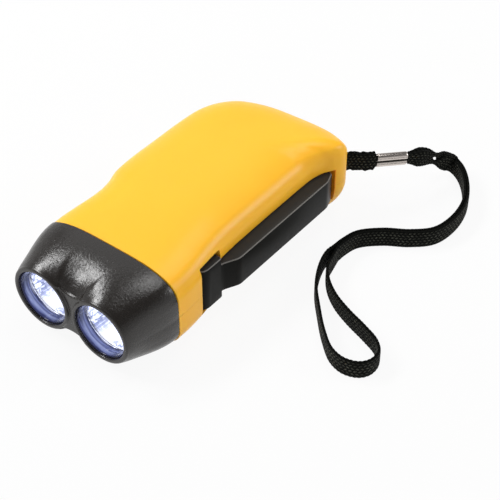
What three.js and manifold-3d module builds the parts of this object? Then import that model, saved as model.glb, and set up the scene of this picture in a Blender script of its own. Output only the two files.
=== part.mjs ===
// Hand-press dynamo torch: two lamps, a squeeze lever that spins a small generator, and a wrist strap.
// Millimetres. It lies on its flat side with +Z up, the lamps look along -Y and the lever is on the +X side.
// Pieces are drawn from the lamps: Y runs back from the rims, and Z is 0 where the two case halves part.

import * as THREE from "three";
import { mergeVertices } from "three/addons/utils/BufferGeometryUtils.js";
import Module from "manifold-3d";

const wasm = await Module();
wasm.setup();

// Driving sizes of the whole torch
const bodyLength = 102.5;
const headLength = 18;
const gripHalfWidth = 25.6;
const gripTop = 16;
const seamTop = 14;
const underside = 14;

// Clearances shared by all pieces
const seatGap = 0.3;
const runningGap = 0.2;
const seamGap = 0.3;
const partingGap = 0.2;
const overrun = 70;
const mergeDistance = 0.0001;

// Case shells
const caseWall = 2;
const crownRise = 1.8;
const plainEdgeRadius = 8.5;
const leverEdgeRadius = 6.5;
const lowerEdgeRadius = 11;
const innerEdgeRadius = 4;
const neckRun = 28;
const lowerEdgeSetback = 12;
const lowerEdgeRun = 30;
const slotEndWall = 2;
const tailThickness = 8;
const frontRun = 20;
const spineSetback = 10;

// Lamp head
const lampSpacing = 22;
const rimRadius = 11.1;
const lensOpeningRadius = 9;
const valleyHalfHeight = 8;
const rimRounding = 0.9;
const lensSetback = 4.5;
const reflectorBoreRadius = 10;
const plugDepth = 4.3;

// Lamps
const lensThickness = 1.5;
const lensBulge = 0.5;
const reflectorLength = 10;
const reflectorSkin = 0.8;
const reflectorMouth = 8.8;
const ledRadius = 2.5;
const ledFlange = 2.9;
const ledFlangeHeight = 1;
const ledLength = 8.6;
const boardThickness = 1.6;
const lampBoardWidth = 39;
const lampBoardHeight = 17;

// Lever and its hinge
const hingeInset = 5.4;
const hingeSetback = 14.6;
const pinRadius = 1;
const pinTop = 10.6;
const pinBottom = -9.1;
const blockHalfHeight = 7.6;
const blockFront = 2.8;
const blockOuter = 3.8;
const blockInner = 2;
const blockBack = 6;
const blockCorner = 2.2;
const blockChamfer = 1.8;
const leverHalfHeight = 5.3;
const leverInset = 7.4;
const leverFlare = 2.5;
const flareRun = 4.9;
const leverTipLength = 4.4;
const leverTipTaper = 1.5;
const leverWall = 2;
const leverChannelWall = 1.7;
const leverEdge = 0.45;
const slotSideGap = 0.7;
const slotInset = 9.6;
const leverRearGap = 1.1;
const recessFrontGap = 0.7;
const recessBackGap = 0.5;
const recessTop = 9.5;
const recessBottom = -8.4;
const hingeGap = 0.35;
const quarterTurn = 90;
const cornerTurnShares = [0, 1 / 3, 2 / 3, 1];
const sectorSlot = 1.5;
const sectorSlotWall = 1.3;
const hingeBossRadius = 2;

// Gear train, from the lever to the rotor
const sectorTeeth = 60;
const sectorToothCount = 8;
const sectorModule = 0.8;
const sectorHalfThickness = 1.2;
const sectorHub = 2.2;
const driveTeeth = 10;
const secondModule = 0.6;
const secondWheelTeeth = 30;
const secondPinionTeeth = 10;
const thirdModule = 0.5;
const thirdWheelTeeth = 36;
const rotorTeeth = 12;
const meshAngle = 123.5;
const secondAngle = 140;
const thirdAngle = 84;
const pressureAngle = 20;
const addendumShare = 0.85;
const dedendumShare = 1.15;
const backlashShare = 0.28;
const wheelThickness = 2.2;
const pinionOverlap = 0.3;
const axleRadius = 1;
const axleBottom = -11;
const axlePostWall = 0.7;
const hubRadius = 2;
const secondLevel = 2;
const thirdLevel = 5.4;
const plateBottom = 8.2;
const plateThickness = 1.4;
const plateMargin = 3.2;

// Generator
const shaftRadius = 0.8;
const flywheelRadius = 9.5;
const flywheelThickness = 2.4;
const flywheelHub = 3;
const magnetRadius = 8;
const magnetHeight = 7;
const airGap = 0.6;
const coreWidth = 3.2;
const coreThickness = 5;
const coreFront = 7;
const coreBack = 15.4;
const bobbinFlange = 4.8;
const bobbinFlangeThickness = 1;
const windingRadius = 4.5;
const bobbinWall = 0.6;

// Cells
const cellRadius = 7.75;
const cellHeight = 5.8;
const cellCount = 3;
const cellX = -9.3;
const cellSetback = 18;
const cradleWall = 1.2;
const cradleDepth = 5;

// Switch on the side away from the lever
const switchSetback = 17.5;
const switchTravel = 3;
const switchCapLength = 8;
const switchCapHeight = 7.2;
const switchCapThickness = 1.4;
const switchPocketInset = 3.4;
const switchStem = 3.8;
const switchBodyLength = 9;
const switchBodyHeight = 4;
const switchBodyDepth = 2.6;
const switchBodyInset = 8.3;
const gripRidge = 0.5;

// Catch that holds the lever shut, on the underside
const catchTravel = 3;
const catchX = 10;
const catchSetback = 43;
const catchCapWidth = 6;
const catchCapLength = 7;
const catchCapThickness = 1.2;
const catchFloor = 11.5;
const catchFloorThickness = 1.5;
const catchTongueWidth = 3.2;
const catchTongueLength = 2.4;
const catchTongueTop = 3;
const catchHookHeight = 2.2;

// Screws
const screwHeadRadius = 2;
const screwHeadHeight = 1.6;
const screwRadius = 0.95;
const screwLength = 12;
const screwSeat = 8;
const screwPost = 3.4;
const screwRoom = 0.3;
const screwFromHinge = 8.5;
const screwFromSeam = 10;
const screwFromPin = 6;
const screwFromTail = 7;
const frontScrewSetback = 10;
const middleScrewSetback = 40.2;
const rearScrewFromTail = 16;
const plateScrewHead = 1.7;
const plateScrewHeadHeight = 1.2;
const plateScrewRadius = 0.7;
const plateScrewLength = 6;
const platePost = 1.9;
const plateScrewRoom = 0.8;
const plateScrewAngles = [230, 50, 10, 172];

// Return spring
const springX = 12.5;
const springSetback = 24;
const springRadius = 3;
const springWire = 0.45;
const springPitch = 1.1;
const springTurns = 3;
const springBottom = -8;
const springLeverLeg = 14.4;
const springPostLeg = 9;
const springPost = 2.2;

// Charge board
const chargeBoardLength = 16;
const chargeBoardHeight = 8;
const chargeBoardThickness = 1.2;
const chargeBoardInset = 3.6;
const chargeBoardSetback = 54;
const chargeRib = 1.4;

// Strap and its anchor
const strapWidth = 6.5;
const strapThickness = 1;
const strapPinInset = 6.1;
const strapPinSetback = 5.2;
const strapPinRadius = 1.2;
const strapExitHeight = 1.6;
const strapHoleWidth = 4.6;
const strapHoleRoom = 0.5;
const strapHoleOffset = 1.3;
const strapBoss = 2.6;
const crimpHeight = 4.6;
const crimpThickness = 2.6;
const crimpLobe = 1.1;

// Shares of the sizes above, chosen by hand
// Plan outline of the case, from the lever side round the tail to the plain side:
// shares of the grip's half width, and of the length behind the lamp head.
const caseOutlineShares = [
  [0.965, 0.0],
  [0.964, 0.06],
  [0.945, 0.13],
  [0.905, 0.21],
  [0.878, 0.3],
  [0.866, 0.44],
  [0.862, 0.61],
  [0.863, 0.73],
  [0.872, 0.79],
  [0.911, 0.838],
  [0.983, 0.878],
  [1.02, 0.913],
  [1.01, 0.942],
  [0.94, 0.968],
  [0.79, 0.987],
  [0.56, 0.997],
  [0.2, 1.0],
  [-0.17, 0.995],
  [-0.46, 0.973],
  [-0.7, 0.932],
  [-0.875, 0.872],
  [-0.972, 0.8],
  [-1.003, 0.71],
  [-1.005, 0.56],
  [-1.0, 0.4],
  [-0.975, 0.335],
  [-0.925, 0.29],
  [-0.898, 0.24],
  [-0.908, 0.185],
  [-0.948, 0.115],
  [-0.975, 0.05],
  [-0.972, 0.0],
];
// Places of the case screws across the plain side, from the front: shares of the grip's half width.
const caseScrewShares = [-0.723, -0.762, -0.777];
const plateauShare = 0.62;
const crownMidShare = 0.5;
const crownMidRiseShare = 0.75;
const headStationShares = [0.06, 0.22, 0.45, 0.72, 1];
const headSwellShare = 1.9;
const spokeShare = 0.62;
const windowShare = 0.19;
const windowPlaceShare = 0.58;
const bulgeMidShare = 0.75;
const reflectorDepthShares = [0, 0.35, 0.75, 1];
const ledTipShares = [
  [0, 0],
  [0.6, 0.2],
  [0.95, 0.7],
  [1, 1],
];
const ridgeShares = [-0.6, -0.2, 0.2, 0.6];

// Counts of flats on round shapes
const roundSides = 24;
const smallSides = 12;
const reflectorSides = 18;
const postSides = 8;
const outerSteps = 2;
const innerSteps = 1;
const headSteps = 48;
const edgeTurns = [0, 27, 54, 80];
const innerTurns = [0, 45, 80];
const springSteps = 12;
const wireSides = 5;

// Places that several pieces share, the works placed from the back of the lamp head
const lampX = lampSpacing / 2;
const neckEnd = headLength + neckRun;
const lowerEdgeStart = headLength + lowerEdgeSetback;
const lowerEdgeEnd = lowerEdgeStart + lowerEdgeRun;
const hingeX = gripHalfWidth - hingeInset;
const hingeY = headLength + hingeSetback;
const leverInner = gripHalfWidth - leverInset;
const slotInner = gripHalfWidth - slotInset;
const strapPinX = gripHalfWidth - strapPinInset;
const switchPocket = gripHalfWidth - switchPocketInset;
const switchBodyX = gripHalfWidth - switchBodyInset;
const chargeBoardX = chargeBoardInset - gripHalfWidth;
const cellY = headLength + cellSetback;
const switchY = headLength + switchSetback;
const catchY = headLength + catchSetback;
const springY = headLength + springSetback;
const chargeBoardY = headLength + chargeBoardSetback;
const slotEnd = bodyLength - tailThickness - caseWall;
const leverRear = slotEnd - leverRearGap;
const leverReach = hingeX + blockOuter + leverFlare;
const blockFrontY = hingeY - blockFront;
const blockBackY = hingeY + blockBack;
const hubTop = plateBottom - seatGap;
const plateTop = plateBottom + plateThickness;
const cellTop = (cellCount * cellHeight + (cellCount - 1) * seatGap) / 2;
const strapPinY = bodyLength - strapPinSetback;
const strapPinPlace = new THREE.Vector2(strapPinX, strapPinY);
const cellPlace = new THREE.Vector2(cellX, cellY);
const hinge = new THREE.Vector2(hingeX, hingeY);
const gear1 = along(hinge, (sectorModule * (sectorTeeth + driveTeeth)) / 2, meshAngle);
const gear2 = along(gear1, (secondModule * (secondWheelTeeth + secondPinionTeeth)) / 2, secondAngle);
const rotor = along(gear2, (thirdModule * (thirdWheelTeeth + rotorTeeth)) / 2, thirdAngle);
const magnetTop = -flywheelThickness / 2 - seatGap;
const coreTop = magnetTop - (magnetHeight - coreThickness) / 2;
const coreInner = magnetRadius + airGap;
const coreOuter = coreInner + coreWidth;
const bobbinTube = Math.hypot(coreThickness / 2 + seatGap, coreWidth / 2 + seatGap) + bobbinWall;

// Case screws: three by the plain side, one by the hinge and one by the strap pin
const plainScrewPlaces = [
  headLength + frontScrewSetback,
  headLength + middleScrewSetback,
  bodyLength - rearScrewFromTail,
];
const caseScrews = [
  ...caseScrewShares.map((share, i) => new THREE.Vector2(share * gripHalfWidth, plainScrewPlaces[i])),
  new THREE.Vector2(hingeX - screwFromHinge, headLength + screwFromSeam),
  new THREE.Vector2(strapPinX - screwFromPin, bodyLength - screwFromTail),
];

// Bearing plate screws, each just clear of the wheel or the core beside it
const plateScrews = [
  along(gear2, tipRadius(thirdWheelTeeth, thirdModule) + platePost + plateScrewRoom, plateScrewAngles[0]),
  along(gear1, tipRadius(secondWheelTeeth, secondModule) + platePost + plateScrewRoom, plateScrewAngles[1]),
  along(rotor, coreOuter + platePost + plateScrewRoom, plateScrewAngles[2]),
  along(rotor, coreOuter + platePost + plateScrewRoom, plateScrewAngles[3]),
];

// The strap's route, points chosen by hand and measured from the tail
const strapRootRoute = [
  [19.9, -3.6, 1.6],
  [21.3, -0.5, 1.5],
  [23.8, 2.2, 1.2],
  [26.5, 4.5, 0.9],
  [28.75, 7.15, 0.6],
];
const crimpRoute = [
  [29.0, 7.5, 0.55],
  [34.9, 15.8, -0.75],
];
const strapStemRoute = [
  [35.1, 16.1, -0.8],
  [36.2, 17.8, -1.1],
  [38.2, 21.7, -2.4],
  [40.2, 26.2, -5.0],
  [41.3, 30.2, -7.9],
  [42.9, 32.6, -9.9],
  [46.6, 31.3, -10.55],
  [51.9, 26, -10.72],
  [56.6, 17.6, -10.75],
  [58.2, 8, -10.75],
  [56.6, -0.4, -10.75],
  [51.3, -6, -10.75],
  [44.4, -10.5, -10.75],
  [38.8, -16.4, -10.75],
  [37.4, -21.9, -10.75],
  [37.2, -25, -10.75],
];
const strapLoopRoute = [
  [36.65, -25.4, -10.75],
  [36.3, -29.1, -10.75],
  [37.9, -35, -10.75],
  [41.8, -42.3, -10.75],
  [48.4, -50, -10.75],
  [54.8, -56.6, -10.75],
  [60.9, -61.4, -10.75],
  [65.8, -62.6, -10.75],
  [70.1, -61.2, -10.75],
  [72.1, -58.3, -10.75],
  [71.9, -54.1, -10.75],
  [69.0, -51, -10.75],
  [63.3, -48.5, -10.75],
  [55.9, -45.9, -10.75],
  [49.4, -42.9, -10.75],
  [43.9, -38.8, -10.75],
  [40.2, -34.1, -10.75],
  [38.7, -29.1, -10.75],
  [37.75, -25.4, -10.75],
];

// Finishes: colour, roughness and metalness
const finishes = {
  yellow: [0xf9c22e, 0.42, 0],
  headBlack: [0x2c2b2a, 0.5, 0],
  leverBlack: [0x24221e, 0.45, 0],
  clear: [0xe6ecff, 0.08, 0],
  mirror: [0xdfe6f5, 0.12, 0.9],
  ledClear: [0xf8faff, 0.15, 0],
  board: [0x2f6b3c, 0.6, 0],
  steel: [0xb9bcc0, 0.3, 1],
  acetal: [0xece9e0, 0.5, 0],
  brass: [0xb08a45, 0.35, 1],
  ferrite: [0x3a3a3c, 0.7, 0],
  laminate: [0x8d8f92, 0.45, 1],
  bobbin: [0x1f1f22, 0.6, 0],
  copper: [0xb0622c, 0.4, 0.8],
  cell: [0x3c7a4a, 0.5, 0],
  switchBlack: [0x1d1d1d, 0.5, 0],
  strap: [0x111210, 0.9, 0],
  crimp: [0xa9a099, 0.3, 1],
};

// A point at a distance and an angle in degrees from another.
function along(from, distance, degrees) {
  const turn = THREE.MathUtils.degToRad(degrees);
  return new THREE.Vector2(from.x + distance * Math.cos(turn), from.y + distance * Math.sin(turn));
}

// A closed geometry as a solid, its shared corners merged.
function solid(geometry) {
  const bare = geometry.clone();
  bare.deleteAttribute("normal");
  bare.deleteAttribute("uv");
  const merged = mergeVertices(bare, mergeDistance);
  const mesh = new wasm.Mesh({
    numProp: 3,
    vertProperties: new Float32Array(merged.attributes.position.array),
    triVerts: new Uint32Array(merged.index.array),
  });
  return new wasm.Manifold(mesh);
}

function block(xLow, xHigh, yLow, yHigh, zLow, zHigh) {
  const box = new THREE.BoxGeometry(xHigh - xLow, yHigh - yLow, zHigh - zLow);
  box.translate((xLow + xHigh) / 2, (yLow + yHigh) / 2, (zLow + zHigh) / 2);
  return solid(box);
}

// An upright round post.
function post(place, zLow, zHigh, radius, sides = smallSides) {
  const round = new THREE.CylinderGeometry(radius, radius, zHigh - zLow, sides);
  round.rotateX(Math.PI / 2);
  round.translate(place.x, place.y, (zLow + zHigh) / 2);
  return solid(round);
}

// A round bar that runs back along Y.
function bar(x, z, yLow, yHigh, radius, sides = roundSides) {
  const round = new THREE.CylinderGeometry(radius, radius, yHigh - yLow, sides);
  round.translate(x, (yLow + yHigh) / 2, z);
  return solid(round);
}

function prism(points, zLow, zHigh, edge = 0) {
  const shape = new THREE.Shape(points);
  const depth = zHigh - zLow - 2 * edge;
  const options = {
    depth,
    bevelEnabled: edge > 0,
    bevelThickness: edge,
    bevelSize: edge,
    bevelOffset: -edge,
    bevelSegments: 1,
  };
  const geometry = new THREE.ExtrudeGeometry(shape, options);
  geometry.translate(0, 0, zLow + edge);
  return solid(geometry);
}

// A turned piece: its profile is a list of radius and place along Y, on the axis at both ends or closed.
function turned(profile, x, sides = roundSides) {
  const points = profile.map(([radius, y]) => new THREE.Vector2(radius, y));
  if (points[0].x > 0) {
    points.push(points[0].clone());
  }
  const geometry = new THREE.LatheGeometry(points, sides);
  geometry.translate(x, 0, 0);
  return solid(geometry);
}

// The lid of a ring of points, turning the same way as the ring when it is seen flat.
function lid(ring, flat) {
  const outline = ring.map(flat);
  const faces = THREE.ShapeUtils.triangulateShape(outline, []);
  const turn = faces.reduce((sum, face) => sum + THREE.ShapeUtils.area(face.map((i) => outline[i])), 0);
  return turn > 0 ? faces : faces.map(([a, b, c]) => [a, c, b]);
}

// A closed skin over a stack of rings of as many points, which turn left as seen from the last ring.
function loft(rings, flat) {
  const count = rings[0].length;
  const lastRing = (rings.length - 1) * count;
  const index = [];
  for (let low = 0; low < lastRing; low += count) {
    for (let i = 0; i < count; i += 1) {
      const next = (i + 1) % count;
      index.push(low + i, low + next, low + count + next);
      index.push(low + i, low + count + next, low + count + i);
    }
  }
  for (const [a, b, c] of lid(rings[0], flat)) {
    index.push(a, c, b);
  }
  for (const face of lid(rings.at(-1), flat)) {
    index.push(...face.map((i) => i + lastRing));
  }
  const corners = rings.flat().flatMap((point) => [point.x, point.y, point.z]);
  const geometry = new THREE.BufferGeometry();
  geometry.setAttribute("position", new THREE.Float32BufferAttribute(corners, 3));
  geometry.setIndex(index);
  return solid(geometry);
}

// Case outline, height and skin

function caseOutline(steps) {
  const gripLength = bodyLength - headLength;
  const sides = caseOutlineShares.map(([across, back]) => {
    return new THREE.Vector3(across * gripHalfWidth, headLength + back * gripLength, 0);
  });
  const leverFront = new THREE.Vector3(sides[0].x, -frontRun, 0);
  const plainFront = new THREE.Vector3(sides.at(-1).x, -frontRun, 0);
  const curve = new THREE.CatmullRomCurve3(sides, false, "centripetal");
  return [leverFront, ...curve.getPoints(steps * (sides.length - 1)), plainFront];
}

// The case's top above the parting: it rises smoothly from the seam to the grip.
function topAt(y) {
  const rise = THREE.MathUtils.smoothstep(y, headLength, neckEnd);
  return THREE.MathUtils.lerp(seamTop, gripTop, rise);
}

// The radius of the round edge at a point of the outline, on the upper or the lower half.
function edgeRadiusAt(point, side) {
  const across = THREE.MathUtils.clamp(point.x / gripHalfWidth / 2 + 1 / 2, 0, 1);
  const upper = THREE.MathUtils.lerp(plainEdgeRadius, leverEdgeRadius, across);
  const growth = THREE.MathUtils.smoothstep(point.y, lowerEdgeStart, lowerEdgeEnd);
  return side > 0 ? upper : THREE.MathUtils.lerp(upper, lowerEdgeRadius, growth);
}

// One half's stack of rings, moved inwards by an inset: an upright side, a round edge and a low crown.
function caseRings(outline, side, inset, turns) {
  const spineEnd = bodyLength - gripHalfWidth;
  const rim = outline.map((point) => {
    const spineY = THREE.MathUtils.clamp(point.y, -spineSetback, spineEnd);
    const inward = new THREE.Vector3(-point.x, spineY - point.y, 0);
    const reach = inward.length();
    return {
      point,
      inward: inward.normalize(),
      flat: reach * plateauShare,
      radius: Math.max(edgeRadiusAt(point, side) - inset, innerEdgeRadius),
      top: (side > 0 ? topAt(point.y) : underside) - inset,
    };
  });
  const levels = turns.map((degrees) => {
    const turn = THREE.MathUtils.degToRad(degrees);
    return (at) => {
      const depth = inset + at.radius * (1 - Math.cos(turn));
      return [depth, at.top - crownRise - at.radius * (1 - Math.sin(turn))];
    };
  });
  const last = levels.at(-1);
  levels.push((at) => {
    const [depth, z] = last(at);
    const middle = THREE.MathUtils.lerp(depth, at.flat, crownMidShare);
    return [middle, THREE.MathUtils.lerp(z, at.top, crownMidRiseShare)];
  });
  levels.push((at) => [at.flat, at.top]);
  return levels.map((level) => {
    return rim.map((at) => {
      const [depth, z] = level(at);
      return at.point.clone().addScaledVector(at.inward, depth).setZ(side * z);
    });
  });
}

function caseSolid(inset, turns, steps) {
  const outline = caseOutline(steps);
  const upper = caseRings(outline, 1, inset, turns);
  const lower = caseRings(outline, -1, inset, turns);
  return loft([...lower.reverse(), ...upper], (point) => new THREE.Vector2(point.x, point.y));
}

const outerCase = caseSolid(0, edgeTurns, outerSteps);
const innerCase = caseSolid(caseWall, innerTurns, innerSteps);
const midCase = caseSolid(caseWall / 2, innerTurns, innerSteps);
const seatCase = caseSolid(caseWall + 2 * seatGap, innerTurns, outerSteps);

// What one case half keeps: its side of the parting, behind the seam with the head.
function caseHalf(side) {
  const zLow = side > 0 ? partingGap / 2 : -overrun;
  const zHigh = side > 0 ? overrun : -partingGap / 2;
  return block(-overrun, overrun, headLength + seamGap, bodyLength + overrun, zLow, zHigh);
}

// Everything that is cut through the walls of both halves.
function cutShared(shell) {
  const slotHalf = leverHalfHeight + slotSideGap;
  const recessFront = blockFrontY - recessFrontGap;
  const recessBack = blockBackY + recessBackGap;
  const capLow = switchY - switchCapLength / 2 - seatGap;
  const capHigh = switchY + switchCapLength / 2 + switchTravel + seatGap;
  const stemLow = switchY - switchStem / 2 - seatGap;
  const stemHigh = switchY + switchStem / 2 + switchTravel + seatGap;
  const stemHalf = switchStem / 2 + seatGap;
  const pocketHalf = switchCapHeight / 2 + 2 * seatGap;
  const holeLow = strapPinX - strapHoleWidth / 2 + strapHoleOffset;
  const holeHalf = strapWidth / 2 + strapHoleRoom;
  return shell
    .subtract(block(slotInner, overrun, blockBackY, slotEnd, -slotHalf, slotHalf))
    .subtract(block(slotInner, overrun, recessFront, recessBack, recessBottom, recessTop))
    .subtract(block(-overrun, -switchPocket, capLow, capHigh, -pocketHalf, pocketHalf))
    .subtract(block(-overrun, -switchBodyX, stemLow, stemHigh, -stemHalf, stemHalf))
    .subtract(
      block(
        holeLow,
        holeLow + strapHoleWidth,
        strapPinY,
        overrun + bodyLength,
        strapExitHeight - holeHalf,
        strapExitHeight + holeHalf,
      ),
    );
}

// The wall that closes the lever's slot at the tail.
function slotEndRib() {
  return block(slotInner - caseWall, overrun, slotEnd, slotEnd + slotEndWall, -overrun, overrun);
}

// A shell with its supports: posts and ribs that grow out of the middle of its wall.
function supported(shell, room, supports) {
  const kept = midCase.intersect(room);
  return supports.reduce((made, support) => made.add(support.intersect(kept)), shell);
}

// Sub-parts, one function each

function upperCase() {
  let shell = outerCase.subtract(innerCase).intersect(caseHalf(1));
  const postBottom = partingGap / 2;
  const supports = [
    slotEndRib(),
    post(strapPinPlace, strapExitHeight + strapWidth / 2 + strapHoleRoom, overrun, strapBoss),
    post(cellPlace, cellTop + seatGap, overrun, cellRadius),
    ...caseScrews.map((place) => post(place, postBottom, overrun, screwPost)),
  ];
  shell = cutShared(supported(shell, caseHalf(1), supports));
  const boss = post(hinge, blockHalfHeight + hingeGap, overrun, hingeBossRadius);
  shell = supported(shell, caseHalf(1), [boss]);
  shell = shell.subtract(post(hinge, 0, pinTop + seatGap, pinRadius + runningGap));
  shell = shell.subtract(post(strapPinPlace, 0, strapPinTop() + seatGap, strapPinRadius + seatGap));
  for (const place of caseScrews) {
    shell = shell.subtract(post(place, 0, screwLength - screwSeat + screwRoom, screwRadius + runningGap));
  }
  return shell;
}

function strapPinTop() {
  return strapExitHeight + strapWidth / 2 + caseWall;
}

function strapPinBottom() {
  return strapExitHeight - strapWidth / 2 - caseWall;
}

function lowerCase() {
  const shell = outerCase.subtract(innerCase).intersect(caseHalf(-1));
  const floor = -overrun;
  const coreSeat = coreTop - coreThickness - seatGap;
  const springTop = springBottom + springPitch * (springTurns + 1);
  const behindSeam = block(-overrun, overrun, headLength + seamGap, bodyLength, floor, overrun);
  const tall = [
    post(gear2, floor, sectorHalfThickness, axleRadius + axlePostWall),
    ...plateScrews.map((place) => post(place, floor, plateBottom - seatGap, platePost, postSides)),
  ];
  const low = [
    slotEndRib(),
    post(strapPinPlace, floor, strapExitHeight - strapWidth / 2 - strapHoleRoom, strapBoss),
    post(gear1, floor, -sectorHalfThickness - 2 * seatGap, hubRadius + seatGap),
    post(rotor, floor, magnetTop - magnetHeight - seatGap, flywheelHub),
    post(new THREE.Vector2(springX, springY), floor, springTop, springPost),
    ...corePosts().map((place) => post(place, floor, coreSeat, platePost, postSides)),
    ...caseScrews.map((place) => post(place, floor, -partingGap / 2, screwPost)),
    cellCradle(),
    switchPedestal(),
    chargeRibs(),
    block(
      catchX - catchCapWidth / 2 - catchTravel - 3 * seatGap,
      catchX + catchCapWidth / 2 + 3 * seatGap,
      catchY - catchCapLength / 2 - 3 * seatGap,
      catchY + catchCapLength / 2 + 3 * seatGap,
      floor,
      -catchFloor + catchFloorThickness,
    ),
  ];
  const cut = cutShared(supported(supported(shell, behindSeam, tall), caseHalf(-1), low));
  const boss = post(hinge, floor, -blockHalfHeight - hingeGap, hingeBossRadius);
  return cutLower(supported(cut, caseHalf(-1), [boss]));
}

// Holes in the lower half: screws, axles, pins and the catch.
function cutLower(shell) {
  const below = -overrun;
  let cut = shell;
  for (const place of caseScrews) {
    cut = cut.subtract(post(place, below, -screwSeat, screwHeadRadius + screwRoom));
    cut = cut.subtract(post(place, below, 0, screwRadius + screwRoom));
  }
  const pilotEnd = plateTop - plateScrewLength - screwRoom;
  for (const place of plateScrews) {
    cut = cut.subtract(post(place, pilotEnd, plateTop, plateScrewRadius + runningGap));
  }
  for (const place of [gear1, gear2]) {
    cut = cut.subtract(post(place, axleBottom - seatGap, plateTop, axleRadius + runningGap));
  }
  cut = cut.subtract(post(rotor, axleBottom - seatGap, plateTop, shaftRadius + runningGap));
  cut = cut.subtract(post(hinge, pinBottom - seatGap, 0, pinRadius + runningGap));
  cut = cut.subtract(post(strapPinPlace, strapPinBottom() - seatGap, overrun, strapPinRadius + seatGap));
  const capLow = catchX - catchCapWidth / 2 - catchTravel - seatGap;
  const capHigh = catchX + catchCapWidth / 2 + seatGap;
  const capHalf = catchCapLength / 2 + seatGap;
  const tongueHalf = catchTongueLength / 2 + seatGap;
  const tongueLow = catchX - catchTongueWidth / 2 - catchTravel - seatGap;
  const tongueHigh = catchX + catchTongueWidth / 2 + seatGap;
  return cut
    .subtract(block(capLow, capHigh, catchY - capHalf, catchY + capHalf, below, -catchFloor))
    .subtract(block(tongueLow, tongueHigh, catchY - tongueHalf, catchY + tongueHalf, below, 0));
}

// A ring wall round the lowest cell, on a solid seat.
function cellCradle() {
  const seat = -cellTop - seatGap;
  const wall = post(cellPlace, -overrun, seat + cradleDepth, cellRadius + seatGap + cradleWall, roundSides);
  return wall.subtract(post(cellPlace, seat, overrun, cellRadius + seatGap, roundSides));
}

function switchPedestal() {
  const low = -switchBodyX - switchBodyDepth - seatGap;
  const half = switchBodyLength / 2;
  const middle = switchY + switchTravel / 2;
  return block(low, -switchBodyX, middle - half, middle + half, -overrun, -switchBodyHeight / 2 - seatGap);
}

function chargeRibs() {
  const low = chargeBoardX - chargeRib;
  const high = chargeBoardX + chargeBoardThickness + chargeRib;
  const bottom = -chargeBoardHeight / 2 - seatGap;
  return block(low, high, chargeBoardY - chargeRib, chargeBoardY + chargeRib, -overrun, bottom);
}

function corePosts() {
  const side = coreInner + coreWidth / 2;
  return [
    { x: rotor.x - side, y: rotor.y - coreFront / 2 },
    { x: rotor.x + side, y: rotor.y - coreFront / 2 },
    { x: rotor.x - side, y: rotor.y + coreFront / 2 },
    { x: rotor.x + side, y: rotor.y + coreFront / 2 },
  ];
}

// Two round rims joined by a hollow whose arc touches both of them.
function rimOutline() {
  const hollowRadius =
    (lampX ** 2 + valleyHalfHeight ** 2 - rimRadius ** 2) / (2 * (rimRadius - valleyHalfHeight));
  const hollowZ = valleyHalfHeight + hollowRadius;
  const touch = Math.atan2(hollowZ, -lampX);
  const shape = new THREE.Shape();
  shape.absarc(lampX, 0, rimRadius, -touch, touch, false);
  shape.absarc(0, hollowZ, hollowRadius, touch - Math.PI, -touch, true);
  shape.absarc(-lampX, 0, rimRadius, Math.PI - touch, Math.PI + touch, false);
  shape.absarc(0, -hollowZ, hollowRadius, touch, Math.PI - touch, true);
  return shape.getPoints(headSteps);
}

// The case's section at the seam, as the head meets it.
function seamOutline() {
  const [lever] = caseOutlineShares;
  const half = lever[0] * gripHalfWidth;
  const radius = (plainEdgeRadius + leverEdgeRadius) / 2;
  const quarter = edgeTurns.map((degrees) => {
    const turn = THREE.MathUtils.degToRad(degrees);
    const x = half - radius * (1 - Math.cos(turn));
    return new THREE.Vector2(x, seamTop - crownRise - radius * (1 - Math.sin(turn)));
  });
  quarter.push(new THREE.Vector2(half * (1 - plateauShare), seamTop));
  const left = quarter.map((point) => new THREE.Vector2(-point.x, point.y)).reverse();
  const upper = [...quarter, ...left];
  const lower = upper.map((point) => new THREE.Vector2(-point.x, -point.y));
  return [...upper, ...lower];
}

// How far an outline reaches from the middle in a direction.
function reachOf(outline, angle) {
  const way = new THREE.Vector2(Math.cos(angle), Math.sin(angle));
  let reach = 0;
  outline.forEach((from, i) => {
    const to = outline[(i + 1) % outline.length];
    const edge = to.clone().sub(from);
    const cross = way.cross(edge);
    if (cross === 0) {
      return;
    }
    const share = from.cross(way) / cross;
    const distance = from.cross(edge) / cross;
    if (share >= 0 && share <= 1 && distance > reach) {
      reach = distance;
    }
  });
  return reach;
}

function lampHead() {
  const rim = rimOutline();
  const seam = seamOutline();
  const stations = [
    { y: 0, inset: rimRounding, share: 0 },
    { y: rimRounding / 3, inset: rimRounding / 3, share: 0 },
    ...headStationShares.map((share) => ({ y: share * headLength, inset: 0, share })),
  ];
  const rings = stations.map(({ y, inset, share }) => {
    const swell = 1 - (1 - share) ** headSwellShare;
    return Array.from({ length: headSteps }, (_, i) => {
      const angle = (-2 * Math.PI * i) / headSteps;
      const reach = THREE.MathUtils.lerp(reachOf(rim, angle), reachOf(seam, angle), swell) - inset;
      return new THREE.Vector3(reach * Math.cos(angle), y, reach * Math.sin(angle));
    });
  });
  let head = loft(rings, (point) => new THREE.Vector2(-point.x, point.z));
  const plugEnd = headLength + plugDepth;
  const plug = seatCase.intersect(
    block(-overrun, overrun, headLength - plugDepth, plugEnd, -overrun, overrun),
  );
  head = head.add(plug);
  for (const x of [-lampX, lampX]) {
    head = head.subtract(bar(x, 0, -overrun, lensSetback + seatGap, lensOpeningRadius));
    head = head.subtract(bar(x, 0, lensSetback, overrun, reflectorBoreRadius));
  }
  return head;
}

function lens(x) {
  const front = lensSetback + seatGap;
  const radius = reflectorBoreRadius - seatGap;
  const profile = [
    [0, front - lensBulge],
    [radius / 2, front - lensBulge * bulgeMidShare],
    [lensOpeningRadius - seatGap, front],
    [radius, front],
    [radius, front + lensThickness],
    [0, front + lensThickness],
  ];
  return turned(profile, x);
}

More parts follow.
